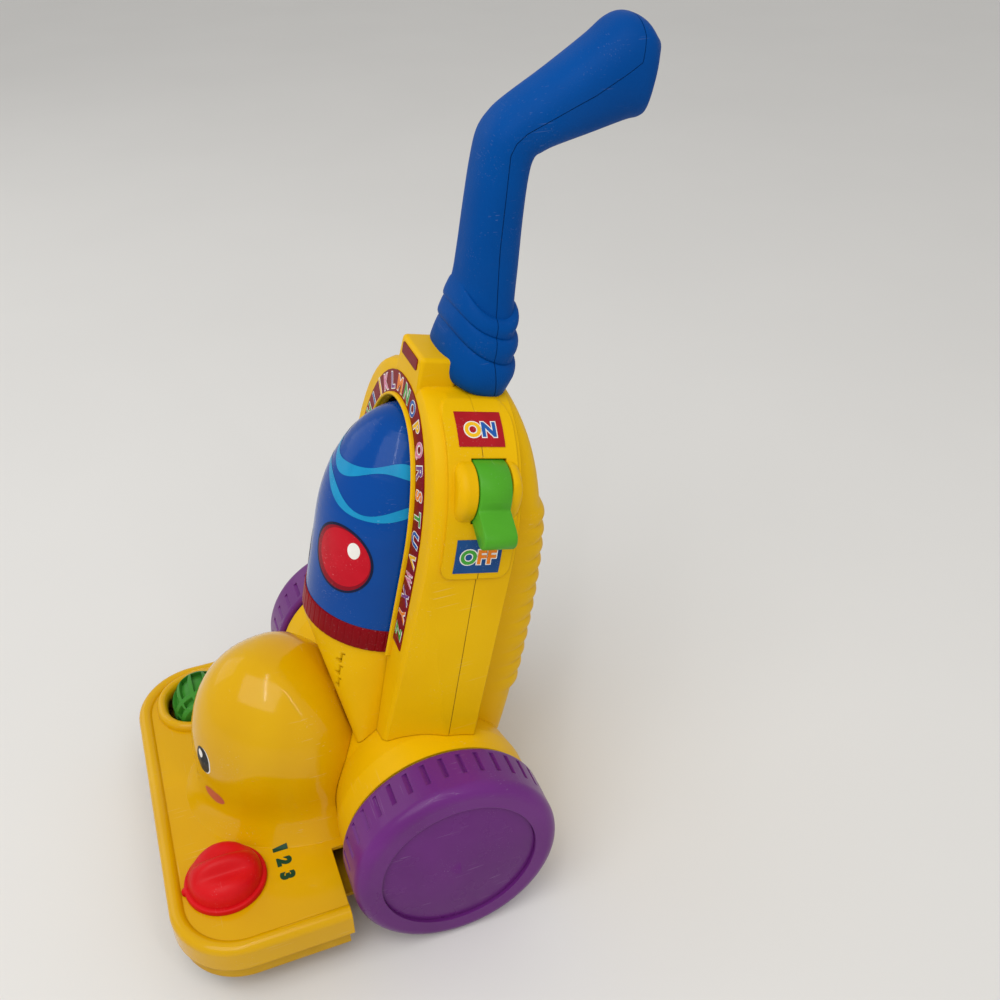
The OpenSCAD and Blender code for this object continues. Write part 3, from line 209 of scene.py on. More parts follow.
# Axle and rear wheels: a steel rod with push nuts on its ends carries two blow-moulded purple wheels
# with notched shoulders. A crowned disc is pressed into each outer face, a little smoother than the tread.
wheel_purple = moulded("wheel_purple", tint(106, 38, 120), tint(94, 31, 106), 0.3, grain=1300.0, depth=0.07,
                       flow=11.0, coat=0.1, scratch=0.25, grime=0.2, edge=0.0006)
disc_purple = moulded("disc_purple", tint(104, 38, 118), tint(95, 33, 108), 0.26, grain=700.0, depth=0.05,
                      flow=14.0, scratch=0.3, grime=0.2)
coat_nodes(plated_steel, "axle", "axle_nuts")
coat_nodes(wheel_purple, "right_wheel", "left_wheel")
coat_nodes(disc_purple, "right_wheel_disc", "left_wheel_disc")

# Wheel housing: a hollow barrel of satin yellow between the wheels, with a waist in the middle and a
# flare beside each wheel. The nose shell and the foot of the upright are both fixed to it.
satin_yellow = moulded("satin_yellow", tint(230, 181, 0), tint(222, 170, 0), 0.4, grain=1500.0, depth=0.1,
                       flow=9.0, scratch=0.3, grime=0.2, shine=0.09, edge=0.001)
coat_nodes(satin_yellow, "wheel_housing")


# Nose shell: one glossy yellow moulding with the flat deck, its rounded rim, the dome with the flared
# foot and the raised ring around the green roller. Its polished mould leaves a wet shine and faint waves.
def placed(name, data):
    piece = bpy.data.objects.new(name, data)
    bpy.context.scene.collection.objects.link(piece)
    return piece


def smooth_shell(node, crease, softened=None, radius=0.0):
    shell = bmesh.new()
    shell.from_mesh(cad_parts[node].data)
    bmesh.ops.remove_doubles(shell, verts=shell.verts, dist=4e-6)
    bmesh.ops.dissolve_degenerate(shell, edges=shell.edges, dist=2e-6)
    if softened:
        bmesh.ops.dissolve_limit(shell, angle_limit=math.radians(0.6), verts=shell.verts, edges=shell.edges)
        picked = [edge for edge in shell.edges if edge.is_convex and softened(edge)]
        bmesh.ops.bevel(shell, geom=picked, offset=radius, offset_type="OFFSET", segments=5, profile=0.5,
                        affect="EDGES", clamp_overlap=False)
        bmesh.ops.triangulate(shell, faces=[face for face in shell.faces if len(face.verts) > 4])
    for face in shell.faces:
        face.smooth = True
    for edge in shell.edges:
        edge.smooth = len(edge.link_faces) == 2 and edge.calc_face_angle(math.pi) < math.radians(crease)
    mesh = bpy.data.meshes.new(node + "_skin")
    shell.to_mesh(mesh)
    shell.free()
    if "custom_normal" in mesh.attributes:
        mesh.attributes.remove(mesh.attributes["custom_normal"])
    piece = placed(node + "_skin", mesh)
    evened = piece.modifiers.new("evened", "WEIGHTED_NORMAL")
    evened.keep_sharp = True
    return piece


def fitted(piece, finish, slot, body, *nodes):
    piece.data.materials.clear()
    piece.data.materials.append(finish)
    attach(piece, body)
    if nodes:
        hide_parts(*nodes)
    return piece


glossy_yellow = moulded("glossy_yellow", tint(219, 170, 0), tint(209, 157, 0), 0.16, grain=260.0, depth=0.03,
                        flow=7.0, coat=0.3, scratch=0.4, grime=0.12, shine=0.09, edge=0.0008)
nose = fitted(smooth_shell("nose_shell", 33), glossy_yellow, "glossy_yellow", "body", "nose_shell")


# Face on the dome: pad-printed ink, two upright oval eyes with a white glint and a rose mark below each.
# The ink lies on the shell as a film about a tenth of a millimetre thick.
def surface_of(piece):
    corners = [vert.co.copy() for vert in piece.data.vertices]
    return BVHTree.FromPolygons(corners, [tuple(face.vertices) for face in piece.data.polygons])


def new_piece(name, points, faces):
    mesh = bpy.data.meshes.new(name)
    mesh.from_pydata(points, [], faces)
    mesh.validate()
    for face in mesh.polygons:
        face.use_smooth = True
    return placed(name, mesh)


def woven(rows, spokes, first=0, closed=True, flipped=False):
    faces = []
    for row in range(rows - 1):
        for spoke in range(spokes if closed else spokes - 1):
            a, b = first + row * spokes + spoke, first + row * spokes + (spoke + 1) % spokes
            faces.append((a, a + spokes, b + spokes, b) if flipped else (a, b, b + spokes, a + spokes))
    return faces


def oval_grid(half_w, half_h, rings=9, spokes=44):
    spots = [(0.0, 0.0)]
    for ring in range(1, rings + 1):
        for spoke in range(spokes):
            turn = 2 * math.pi * spoke / spokes
            spots.append((half_w * ring / rings * math.cos(turn), half_h * ring / rings * math.sin(turn)))
    faces = [(0, 1 + spoke, 1 + (spoke + 1) % spokes) for spoke in range(spokes)]
    return spots, faces + woven(rings, spokes, first=1, flipped=True)


def printed_oval(name, surface, centre, outward, up, half_w, half_h, lift, finish, slot, body):
    outward = Vector(outward).normalized()
    up = (Vector(up) - outward * outward.dot(Vector(up))).normalized()
    right = up.cross(outward)
    spots, faces = oval_grid(half_w, half_h)
    points, clear_of_dome = [], 0.04
    for u, v in spots:
        start = Vector(centre) + right * u + up * v + outward * clear_of_dome
        hit, normal, _, _ = surface.ray_cast(start, -outward)
        points.append(hit + (normal if normal.dot(outward) > 0 else -normal) * lift)
    return fitted(new_piece(name, points, faces), finish, slot, body)


def ink(name, colour, deeper, rough=0.3):
    return moulded(name, colour, deeper, rough, grain=1800.0, depth=0.03, flow=60.0, scratch=0.5, grime=0.1,
                   shine=0.12)


ink_black = ink("ink_black", tint(9, 8, 8), tint(14, 13, 12), 0.24)
ink_white = ink("ink_white", tint(240, 238, 232), tint(228, 225, 216))
ink_rose = ink("ink_rose", tint(186, 84, 72), tint(196, 98, 70), 0.34)
dome_skin = surface_of(nose)
for side, word in ((1, "right"), (-1, "left")):
    for part, at, lean, wide, tall, lift, finish in (
            ("eye_rim", (18.0, -122.2, 91.7), 0.16, 6.3, 9.3, 0.00008, ink_white),
            ("eye", (17.2, -122.5, 91.8), 0.16, 6.1, 9.2, 0.00014, ink_black),
            ("eye_glint", (15.6, -123.2, 95.8), 0.16, 2.1, 2.9, 0.0002, ink_white),
            ("cheek", (22.0, -120.5, 65.5), -0.1, 8.6, 4.4, 0.0001, ink_rose)):
        centre = Vector((side * at[0], at[1], at[2])) / 1000
        outward, up = (side * 0.42, -0.9, 0.12), (-side * lean, 0.0, 1.0)
        printed_oval(word + "_" + part, dome_skin, centre, outward, up, wide / 1000, tall / 1000, lift,
                     finish, "glossy_yellow", "body")


# Numbers behind the dial: 1, 2 and 3 stamped on the deck in dark green foil, read from the front.
# Each figure is a thin flat sign pressed onto the plastic.
def finished_mesh(holder):
    bpy.context.view_layer.update()
    return bpy.data.meshes.new_from_object(holder.evaluated_get(bpy.context.evaluated_depsgraph_get()))


def sign(text, tall, swell, thick):
    size_of_capital = 1.38
    outline = bpy.data.curves.new("sign", "FONT")
    outline.body = text
    outline.size = tall * size_of_capital
    outline.offset = swell
    outline.extrude = thick / 2
    outline.resolution_u = 5
    holder = placed("sign", outline)
    mesh = finished_mesh(holder)
    bpy.data.objects.remove(holder)
    shape = bmesh.new()
    shape.from_mesh(mesh)
    bpy.data.meshes.remove(mesh)
    low = [min(v.co[i] for v in shape.verts) for i in (0, 1)]
    high = [max(v.co[i] for v in shape.verts) for i in (0, 1)]
    bmesh.ops.translate(shape, verts=shape.verts, vec=(-(low[0] + high[0]) / 2, -(low[1] + high[1]) / 2, 0))
    return shape


def gather_signs(name, signs, finishes, body):
    whole = bmesh.new()
    for shape, seat in signs:
        first = len(whole.faces)
        mesh = bpy.data.meshes.new("sign")
        shape.to_mesh(mesh)
        shape.free()
        whole.from_mesh(mesh)
        bpy.data.meshes.remove(mesh)
        whole.faces.ensure_lookup_table()
        for face in whole.faces[first:]:
            face.material_index = seat
    mesh = bpy.data.meshes.new(name)
    whole.to_mesh(mesh)
    whole.free()
    piece = placed(name, mesh)
    for finish in finishes:
        mesh.materials.append(finish)
    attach(piece, body)


ink_green = ink("ink_green", tint(24, 62, 40), tint(30, 74, 46))
figures, figure_tall, above_dome = [], 0.0076, 0.2
for text, x, y in (("1", 0.0583, -0.0913), ("2", 0.0676, -0.0907), ("3", 0.0778, -0.0908)):
    shape = sign(text, figure_tall, 0.0008, 0.00016)
    bmesh.ops.transform(shape, verts=shape.verts, matrix=Matrix.Translation((x, y, 0.0001)))
    for vert in shape.verts:
        vert.co.z += dome_skin.ray_cast(Vector((vert.co.x, vert.co.y, above_dome)), Vector((0, 0, -1)))[0].z
    figures.append((shape, 0))
gather_signs("dial_figures", figures, [ink_green], "body")

# Dial: a bright red knob with a pinch ridge and a pointer bead, snapped through the deck and held from
# below by a black washer. The soft polyethylene has a waxy, slightly uneven surface.
dial_red = moulded("dial_red", tint(212, 14, 22), tint(198, 8, 16), 0.42, grain=700.0, depth=0.16, flow=30.0,
                   scratch=0.2, grime=0.15)
dial_x, dial_y, dial_z = 0.06844, -0.1244, 0.0453
dial_crown, dial_side, dial_lip = 20.0, 21.0, 22.0


def dial_height(x, y):
    round_power, rim_low, rim_round, blend = 2.4, 2.0, 1.2, 0.8
    ridge_foot, scoop_deep, scoop_half_long = 6.8, 5.4, 19.0
    out, off = math.hypot(x, y), abs(x) - ridge_foot
    crown = dial_crown * max(0.0, 1 - (out / dial_side) ** round_power) ** (1 / round_power)
    hollow = math.exp(-(off / (3.2 if off < 0 else 7.0)) ** 2) * max(0.0, 1 - (y / scoop_half_long) ** 2)
    body = max(0.0, crown - scoop_deep * hollow)
    rim = rim_low + math.sqrt(max(0.0, rim_round ** 2 - max(0.0, out - dial_lip) ** 2))
    return (body + rim + math.hypot(body - rim, blend)) / 2 - 0.1


dial_points, dial_spokes = [(dial_x, dial_y, dial_z + dial_height(0, 0) / 1000)], 120
dial_rings = [0.5 * i for i in range(1, 45)] + [dial_lip + step for step in (0.4, 0.7, 0.95, 1.12, 1.2, 1.2)]
for order, out in enumerate(dial_rings):
    for spoke in range(dial_spokes):
        turn = 2 * math.pi * spoke / dial_spokes
        x, y = out * math.cos(turn), out * math.sin(turn)
        tall = dial_height(x, y) if order < len(dial_rings) - 1 else 0.0
        dial_points.append((dial_x + x / 1000, dial_y + y / 1000, dial_z + tall / 1000))
dial_faces = [(0, 1 + spoke, 1 + (spoke + 1) % dial_spokes) for spoke in range(dial_spokes)]
dial_faces += woven(len(dial_rings), dial_spokes, first=1, flipped=True)
dial_faces.append(tuple(1 + (len(dial_rings) - 1) * dial_spokes + i for i in range(dial_spokes)))
pointer_first, pointer_rows, pointer_turns = len(dial_points), 7, 40
pointer_out, pointer_radius, pointer_foot, pointer_rise = 0.0221, 0.0028, 0.0012, 0.0023
for row in range(pointer_rows):
    lift = math.pi / 2 * row / (pointer_rows - 1)
    radius = pointer_radius * math.cos(lift)
    tall = pointer_foot + pointer_rise * math.sin(lift) if row else 0.0
    for i in range(pointer_turns):
        turn = 2 * math.pi * i / pointer_turns
        dial_points.append((dial_x + radius * math.cos(turn), dial_y - pointer_out + radius * math.sin(turn),
                            dial_z + tall))
dial_faces += woven(pointer_rows, pointer_turns, first=pointer_first)
dial = new_piece("dial_skin", dial_points, dial_faces)
dial.data.set_sharp_from_angle(angle=math.radians(55))
fitted(dial, dial_red, "dial_red", "dial", "dial_knob")
coat_nodes(board_black, "dial_washer")

# Nose roller: a barrel of green plastic with cast ribs, turning on a steel pin between two black
# cradle posts below the opening in the deck. The shell's round bead frames the opening.
roller_green = moulded("roller_green", tint(62, 142, 44), tint(50, 124, 36), 0.4, grain=1300.0, depth=0.1,
                       grime=0.3, edge=0.0008)
coat_nodes(roller_green, "nose_roller")
ring_x, ring_y, ring_z, ring_radius = -0.08201, -0.116, 0.045, 19
flat_x, flat_y, bead_half_w, bead_tall, ring_turns = 2, 4, 3.6, 4.8, 144
ring_section = [(-0.8, -2.0)]
for i in range(13):
    turn = math.pi * i / 12
    ring_section.append((2.8 - bead_half_w * math.cos(turn), bead_tall * math.sin(turn)))
ring_points = []
for out, rise in ring_section:
    for i in range(ring_turns):
        turn = 2 * math.pi * (i + 0.5) / ring_turns
        x = math.copysign(flat_x, math.cos(turn)) + (ring_radius + out) * math.cos(turn)
        y = math.copysign(flat_y, math.sin(turn)) + (ring_radius + out) * math.sin(turn)
        ring_points.append((ring_x + x / 1000, ring_y + y / 1000, ring_z + rise / 1000))
roller_ring = new_piece("roller_ring", ring_points, woven(len(ring_section), ring_turns))
fitted(roller_ring, glossy_yellow, "glossy_yellow", "body")
coat_nodes(plated_steel, "nose_roller_pin")
coat_nodes(board_black, "roller_cradle")

# Neck panel: the satin yellow skirt below the drum, narrow at the top and spread over the housing, with
# three note-shaped sound holes. A small loudspeaker with a black cone stands behind the holes.
fitted(smooth_shell("neck_panel", 38), satin_yellow, "body_yellow", "body", "neck_panel")
coat_nodes(board_black, "loudspeaker")

# Drum: a blue bullet blown from tough plastic that spins on a short steel spindle, with a dark red
# knurled collar pressed over its foot. The blue is deep and shiny like a bottle.
drum_blue = moulded("drum_blue", tint(0, 72, 154), tint(0, 64, 142), 0.16, grain=240.0, depth=0.03, flow=12.0,
                    coat=0.1, scratch=0.4, grime=0.1, shine=0.1)
collar_red = moulded("collar_red", tint(136, 4, 18), tint(120, 2, 14), 0.34, grain=1200.0, depth=0.08,
                     grime=0.25, shine=0.08)
lean_cos, lean_sin, upright_middle = 0.974370, 0.224951, 200.0
drum_radius, drum_spring, drum_crown, drum_depth = 43.5, 20.0, 71.0, 3.0


def on_upright(x, depth, height):
    return Vector((x, depth * lean_cos + height * lean_sin,
                   upright_middle - depth * lean_sin + height * lean_cos)) / 1000


coat_nodes(drum_blue, "drum_dome")
collar_points, collar_spokes, grooves, groove_deep = [], 960, 60, 0.3
collar_rows = [(40.5, -41.3), (43.6, -41.3), (44.0, -41.1), (44.2, -40.6), (44.25, -40.0), (44.25, -28.6),
               (44.2, -27.9), (44.0, -27.3), (43.65, -27.0)]
for order, (out, height) in enumerate(collar_rows):
    for spoke in range(collar_spokes):
        turn = 2 * math.pi * spoke / collar_spokes
        groove = groove_deep * max(0.0, math.cos(grooves * turn)) ** 6 if 2 <= order <= 7 else 0.0
        x, depth = (out - groove) * math.cos(turn), drum_depth - (out - groove) * math.sin(turn)
        collar_points.append(on_upright(x, depth, height))
collar = new_piece("collar_skin", collar_points, woven(len(collar_rows), collar_spokes, flipped=True))
fitted(collar, collar_red, "collar_red", "drum", "drum_collar")
coat_nodes(plated_steel, "drum_spindle")
coat_nodes(board_black, "drum_bearing")


# Print on the drum: screen-printed play balls and two light blue ribbons that wave right around it.
# The ink follows the bullet's curve as a film and turns with it.
def on_drum(turn, height, lift):
    above = height - drum_spring
    rise = max(0.0, above / drum_crown)
    radius = drum_radius * math.sqrt(max(1e-4, 1.0 - rise * rise))
    slope = drum_radius ** 2 * above / (drum_crown ** 2 * radius) if rise > 0 else 0.0
    stretch = lift / math.hypot(1.0, slope)
    out = radius + stretch
    spot = on_upright(out * math.cos(turn), drum_depth - out * math.sin(turn), height + stretch * slope)
    return spot, radius


def drum_oval(name, turn, height, half_w, half_h, lift, finish):
    spots, faces = oval_grid(half_w, half_h, rings=10, spokes=56)
    points = []
    for u, v in spots:
        radius = on_drum(0.0, height + v, 0.0)[1]
        points.append(on_drum(turn - u / radius, height + v, lift)[0])
    fitted(new_piece(name, points, faces), finish, "drum_blue", "drum")


def drum_ribbon(name, height, swing, waves, start, half_w, finish):
    steps, rows, lift = 240, 5, 0.1
    points = []
    for step in range(steps + 1):
        turn = 2 * math.pi * step / steps
        middle = height + swing * math.sin(waves * turn + start)
        taper = half_w * (0.72 + 0.28 * math.sin(2 * waves * turn))
        for row in range(rows):
            points.append(on_drum(turn, middle + taper * (2 * row / (rows - 1) - 1), lift)[0])
    faces = woven(steps + 1, rows, closed=False, flipped=True)
    fitted(new_piece(name, points, faces), finish, "drum_blue", "drum")


ink_sky = ink("ink_sky", tint(30, 146, 194), tint(22, 134, 184), 0.2)
ink_ball_red = ink("ink_ball_red", tint(196, 14, 36), tint(182, 8, 30), 0.2)
ink_ball_shade = ink("ink_ball_shade", tint(140, 6, 30), tint(128, 4, 26), 0.2)
ink_navy = ink("ink_navy", tint(14, 22, 52), tint(18, 28, 60), 0.22)
ink_sun = ink("ink_sun", tint(240, 190, 30), tint(232, 178, 22), 0.22)
ink_leaf = ink("ink_leaf", tint(70, 160, 60), tint(60, 146, 52), 0.22)
ink_orange = ink("ink_orange", tint(236, 132, 34), tint(228, 120, 28), 0.22)
drum_ribbon("drum_ribbon_high", 63.0, 5.0, 3, 0.4, 3.4, ink_sky)
drum_ribbon("drum_ribbon_low", 46.0, 6.0, 3, 2.2, 3.0, ink_sky)
for order, (turn, height, size, face, shade) in enumerate((
        (56.0, 11.0, 19.0, ink_ball_red, ink_ball_shade), (124.0, -8.0, 14.0, ink_sun, ink_orange),
        (192.0, 14.0, 18.0, ink_leaf, ink_green), (258.0, 4.0, 16.0, ink_orange, ink_ball_red),
        (326.0, 12.0, 17.0, ink_sun, ink_orange))):
    turn = math.radians(turn)
    name = "drum_ball_%d_" % order
    drum_oval(name + "edge", turn, height, size + 1.5, size + 1.5, 0.14, ink_navy)
    drum_oval(name + "shade", turn, height, size, size, 0.18, shade)
    drum_oval(name + "face", turn - 1.4 / drum_radius, height + 1.2, size * 0.9, size * 0.9, 0.22, face)
    glint_turn, glint_height = turn - size * 0.42 / drum_radius, height + size * 0.45
    drum_oval(name + "shine", glint_turn, glint_height, size * 0.2, size * 0.26, 0.26, ink_white)


# Upright front shell: the satin yellow front of the upright with its arched window, the block on top and
# the front cheek of the switch. It is clipped to the rear shell along a seam that runs down both sides.
def to_upright(spot):
    x, y, rise = spot.x * 1000, spot.y * 1000, spot.z * 1000 - upright_middle
    return x, y * lean_cos - rise * lean_sin, y * lean_sin + rise * lean_cos


def block_edge(edge):
    block_low, block_half_w, block_back, shortest = 100, 17.2, 18, 0.008
    for vert in edge.verts:
        x, depth, height = to_upright(vert.co)
        if height <= block_low or abs(x) >= block_half_w or depth >= block_back:
            return False
    return edge.calc_length() > shortest and edge.calc_face_angle(0) > math.radians(60)


front_shell = fitted(smooth_shell("upright_front_shell", 36, block_edge, 0.0024), satin_yellow,
                     "body_yellow", "body", "upright_front_shell")

# Letter band and top plate: paper-backed film stuck into shallow seats, dark red with a thin clear
# lacquer. The plate on the top block is plain.
band_red = moulded("band_red", tint(128, 6, 20), tint(116, 4, 16), 0.34, grain=2200.0, depth=0.05, flow=50.0,
                   scratch=0.5, grime=0.2, shine=0.1)
fitted(smooth_shell("letter_band", 30), band_red, "band_red", "body", "letter_band")
plate_half_w, plate_low, plate_high, plate_corner = 11.9, 116.6, 122.9, 1.2
plate_back, plate_front = 3.2, 3.85
plate_outline = []
for side, middle, first in ((1, plate_high - plate_corner, 0), (-1, plate_high - plate_corner, 90),
                            (-1, plate_low + plate_corner, 180), (1, plate_low + plate_corner, 270)):
    for i in range(7):
        turn = math.radians(first + 15 * i)
        plate_outline.append((side * (plate_half_w - plate_corner) + plate_corner * math.cos(turn),
                              middle + plate_corner * math.sin(turn)))
count = len(plate_outline)
plate_points = [on_upright(x, -depth, h) for depth in (plate_back, plate_front) for x, h in plate_outline]
plate_faces = woven(2, count) + [tuple(range(count, 2 * count))]
plate = new_piece("top_plate_film", plate_points, plate_faces)
plate.data.set_sharp_from_angle(angle=math.radians(40))
fitted(plate, band_red, "band_red", "body", "top_plate")

# Window bead: a rounded lip that stands up around the arched window, moulded in one with the front shell.
# It frames the drum and keeps small fingers away from the gap beside it.
window_half, window_crown, window_power, front_depth = 45.5, 73.0, 2.15, 3.3


def signed_power(value, power):
    return math.copysign(abs(value) ** power, value)


def arch_line(margin, foot):
    half, rise, leg, arc = window_half + margin, window_crown + margin, 60, 240
    spots = [(-half, foot + (drum_spring - foot) * i / leg) for i in range(leg)]
    for i in range(arc + 1):
        turn = math.pi - math.pi * i / arc
        reach = signed_power(math.cos(turn), 2 / window_power)
        spots.append((half * reach, drum_spring + rise * math.sin(turn) ** (2 / window_power)))
    return spots + [(half, drum_spring - (drum_spring - foot) * i / leg) for i in range(1, leg + 1)]


bead_rows = [(0.1, -0.4), (0.1, 2.0), (0.35, 2.65), (1.0, 2.95), (1.65, 2.65), (1.9, 2.0), (1.9, -0.4)]
bead_points, bead_foot = [], -40.0
for margin, lift in bead_rows:
    bead_points += [on_upright(x, -front_depth - lift, height) for x, height in arch_line(margin, bead_foot)]
count = len(bead_points) // len(bead_rows)
bead_faces = woven(len(bead_rows), count, closed=False)
bead_faces += [tuple(range(first, len(bead_points), count)) for first in (0, count - 1)]
bead = new_piece("window_bead", bead_points, bead_faces)
bead.data.set_sharp_from_angle(angle=math.radians(60))
fitted(bead, satin_yellow, "body_yellow", "body")

# Alphabet on the band: twenty-six capitals printed in six inks with white edges, set along the middle of
# the band from its left foot over the arch to its right foot, their heads outward.
ink_blue = ink("ink_blue", tint(36, 92, 168), tint(30, 84, 158))
ink_pink = ink("ink_pink", tint(214, 130, 160), tint(206, 120, 152))
ink_lilac = ink("ink_lilac", tint(122, 70, 140), tint(112, 62, 130))
band_middle, band_foot, band_thick = 8.0, -25.5, 0.6
letter_tall, letter_most_wide = 0.0086, 0.0084
band = arch_line(band_middle, band_foot)
run = [0.0]
for first, second in zip(band, band[1:]):
    run.append(run[-1] + math.dist(first, second))
uphill = (on_upright(0, 0, 1) - on_upright(0, 0, 0)) * 1000
away = (on_upright(0, 0, 0) - on_upright(0, 1, 0)) * 1000
letter_inks = [ink_orange, ink_leaf, ink_blue, ink_sun, ink_pink, ink_lilac]
letters = []
for order, text in enumerate("ABCDEFGHIJKLMNOPQRSTUVWXYZ"):
    goal = run[-1] * (order + 0.6) / 26.2
    spot = next(i for i in range(1, len(run)) if run[i] >= goal)
    share = (goal - run[spot - 1]) / (run[spot] - run[spot - 1])
    x, height = (a + (b - a) * share for a, b in zip(band[spot - 1], band[spot]))
    before, after = band[max(0, spot - 8)], band[min(len(band) - 1, spot + 7)]
    lean = math.atan2(after[1] - before[1], after[0] - before[0]) + 0.08 * math.sin(2.4 * order)
    across = Vector((math.cos(lean), 0.0, 0.0)) + uphill * math.sin(lean)
    upward = away.cross(across)
    for swell, thick, lift, seat in ((0.0008, 0.0001, 0.00006, 0), (0.00028, 0.0001, 0.00014, 1 + order % 6)):
        shape = sign(text, letter_tall, swell, thick)
        wide = max(v.co.x for v in shape.verts) * 2
        bmesh.ops.scale(shape, verts=shape.verts, vec=(min(1.0, letter_most_wide / wide), 1.0, 1.0))
        origin = on_upright(x, -front_depth - band_thick, height) + away * lift
        seat_matrix = Matrix((across, upward, away)).transposed().to_4x4()
        bmesh.ops.transform(shape, verts=shape.verts, matrix=Matrix.Translation(origin) @ seat_matrix)
        letters.append((shape, seat))
gather_signs("alphabet", letters, [ink_white] + letter_inks, "body")

# Upright rear shell: the satin yellow back with the flange around the seam, the rear cheek of the switch
# and the scalloped bag moulded as one. The bag's ribs are rounded like the folds of a dust bag.
rear_shell = fitted(smooth_shell("upright_rear_shell", 38), satin_yellow,
                    "body_yellow", "body", "upright_rear_shell")
pin_x, pin_height = 57.5, 72.5
cheek_face, cheek_front, cheek_back, cheek_reach, cheek_share = 69.5, 35, 43, 17.0, 0.42
for vert in rear_shell.data.vertices:
    x, depth, height = to_upright(vert.co)
    near_pin = math.hypot(x - pin_x, height - pin_height) < cheek_reach
    if x > cheek_face and cheek_front < depth < cheek_back and near_pin:
        vert.co.x = (cheek_face + cheek_share * (x - cheek_face)) / 1000
seam_depth, seam_lean = 26.0, math.radians(2.0)
bag_foot, bag_top, bag_deep, bag_half_w, bag_power, proud = -112.0, 111.6, 53.0, 56.0, 2.3, 0.15
ribs, rib_foot, rib_pitch, rib_tall, rib_steps = 12, -72.0, 10.5, 3.2, 14
rib_top = rib_foot + ribs * rib_pitch
levels = [bag_foot + (rib_foot - bag_foot) * i / 8 for i in range(8)]
levels += [rib_foot + rib_pitch * i / rib_steps for i in range(ribs * rib_steps)]
levels += [rib_top + (bag_top - rib_top) * math.sin(math.pi / 2 * i / 24) for i in range(25)]
bag_points, across = [], 72
for level in levels:
    fold = (level - rib_foot) / rib_pitch
    rib = rib_tall * abs(math.sin(math.pi * fold)) ** 0.75 if 0 <= fold <= ribs else 0.0
    deep_share = max(0.0, 1 - (abs(level + 40.0) / 162.0) ** bag_power) ** (1 / bag_power)
    wide_share = max(0.0, 1 - (max(0.0, level - 25.0) / 87.0) ** bag_power) ** (1 / bag_power)
    deep, wide = bag_deep * deep_share + rib + proud, bag_half_w * wide_share + proud
    for i in range(across + 1):
        turn = math.pi * i / across
        turn -= 0.42 * math.sin(2 * turn) / 2
        x, back = wide * signed_power(math.cos(turn), 1 / 3), deep * abs(math.sin(turn)) ** (1 / 3)
        bag_points.append(on_upright(x, seam_depth + back * math.cos(seam_lean) - level * math.sin(seam_lean),
                                     level * math.cos(seam_lean) + back * math.sin(seam_lean)))
bag_faces = woven(len(levels), across + 1, closed=False)
fitted(new_piece("bag_skin", bag_points, bag_faces), satin_yellow, "body_yellow", "body")

# Seam of the upright: a thin strip of darker yellow laid on the shells between them, which shows as a line
# down each side.
# It is painted shadow that stands for the gap the clip fit leaves, a third of a millimetre wide.
seam_painted_shadow = moulded("seam_painted_shadow", tint(140, 100, 4), tint(124, 86, 4), 0.7, depth=0.1)
joint_low, joint_long, joint_steps, joint_half, joint_slope = -110.0, 216.0, 180, 0.16, 0.035
sides = [surface_of(front_shell), surface_of(rear_shell)]
for side, word in ((1, "right"), (-1, "left")):
    points, faces, kept = [], [], []
    for i in range(joint_steps + 1):
        height = joint_low + joint_long * i / joint_steps
        row = []
        for off in (-joint_half, joint_half):
            start = on_upright(side * 150.0, seam_depth - joint_slope * height + off, height)
            hits = [tree.ray_cast(start, Vector((-side, 0, 0)))[0] for tree in sides]
            hits = [hit for hit in hits if hit is not None]
            outer = max(hits, key=lambda hit: side * hit.x) if hits else None
            row.append(outer + Vector((side * 0.00005, 0, 0)) if hits else None)
        kept.append(None if None in row else len(points))
        points += [spot for spot in row if None not in row]
    for first, second in zip(kept, kept[1:]):
        if first is not None and second is not None and (points[first] - points[second]).length < 0.008:
            faces.append((first, second, second + 1, first + 1))
    fitted(new_piece(word + "_shell_seam_shadow", points, faces), seam_painted_shadow, "body_yellow", "body")

# Switch: a bright green lever that rocks on a steel pin between the two cheeks. Its barrel runs into a
# blunt thumb tab through a soft waist, and all its edges are rounded in the mould.
lever_green = moulded("lever_green", tint(80, 166, 38), tint(72, 154, 32), 0.36, grain=1200.0, depth=0.08,
                      flow=24.0, scratch=0.5, grime=0.2)


def lever_reach(turn):
    barrel, tip, half, longest, waist, rest_turn = 16.7, 29.3, 5.2, 34.5, 1.6, math.radians(25.0)
    off = (turn + rest_turn + math.pi) % (2 * math.pi) - math.pi
    beside = abs(math.sin(off))
    if math.cos(off) <= 0:
        tab = 0.0
    elif tip * beside < half:
        tab = tip * math.cos(off) + math.sqrt(half * half - (tip * beside) ** 2)
    else:
        tab = half / beside
    tab = min(tab, longest)
    return (barrel + tab + math.hypot(barrel - tab, waist)) / 2 if tab > 9 else barrel


lever_points, spots = [], 220
layers = [(17.15, 1.1), (17.35, 0.45), (17.95, 0.0), (34.05, 0.0), (34.65, 0.45), (34.85, 1.1)]
for depth, inset in layers:
    for i in range(spots):
        turn = 2 * math.pi * i / spots
        reach = lever_reach(turn) - inset
        x, height = pin_x + reach * math.cos(turn), pin_height + reach * math.sin(turn)
        lever_points.append(on_upright(x, depth, height))
lever_faces = woven(len(layers), spots)
lever_faces.append(tuple(reversed(range(spots))))
lever_faces.append(tuple(range((len(layers) - 1) * spots, len(layers) * spots)))
lever = new_piece("lever_skin", lever_points, lever_faces)
lever.data.set_sharp_from_angle(angle=math.radians(50))
fitted(lever, lever_green, "lever_green", "switch_lever", "switch_lever")
coat_nodes(plated_steel, "switch_pin")

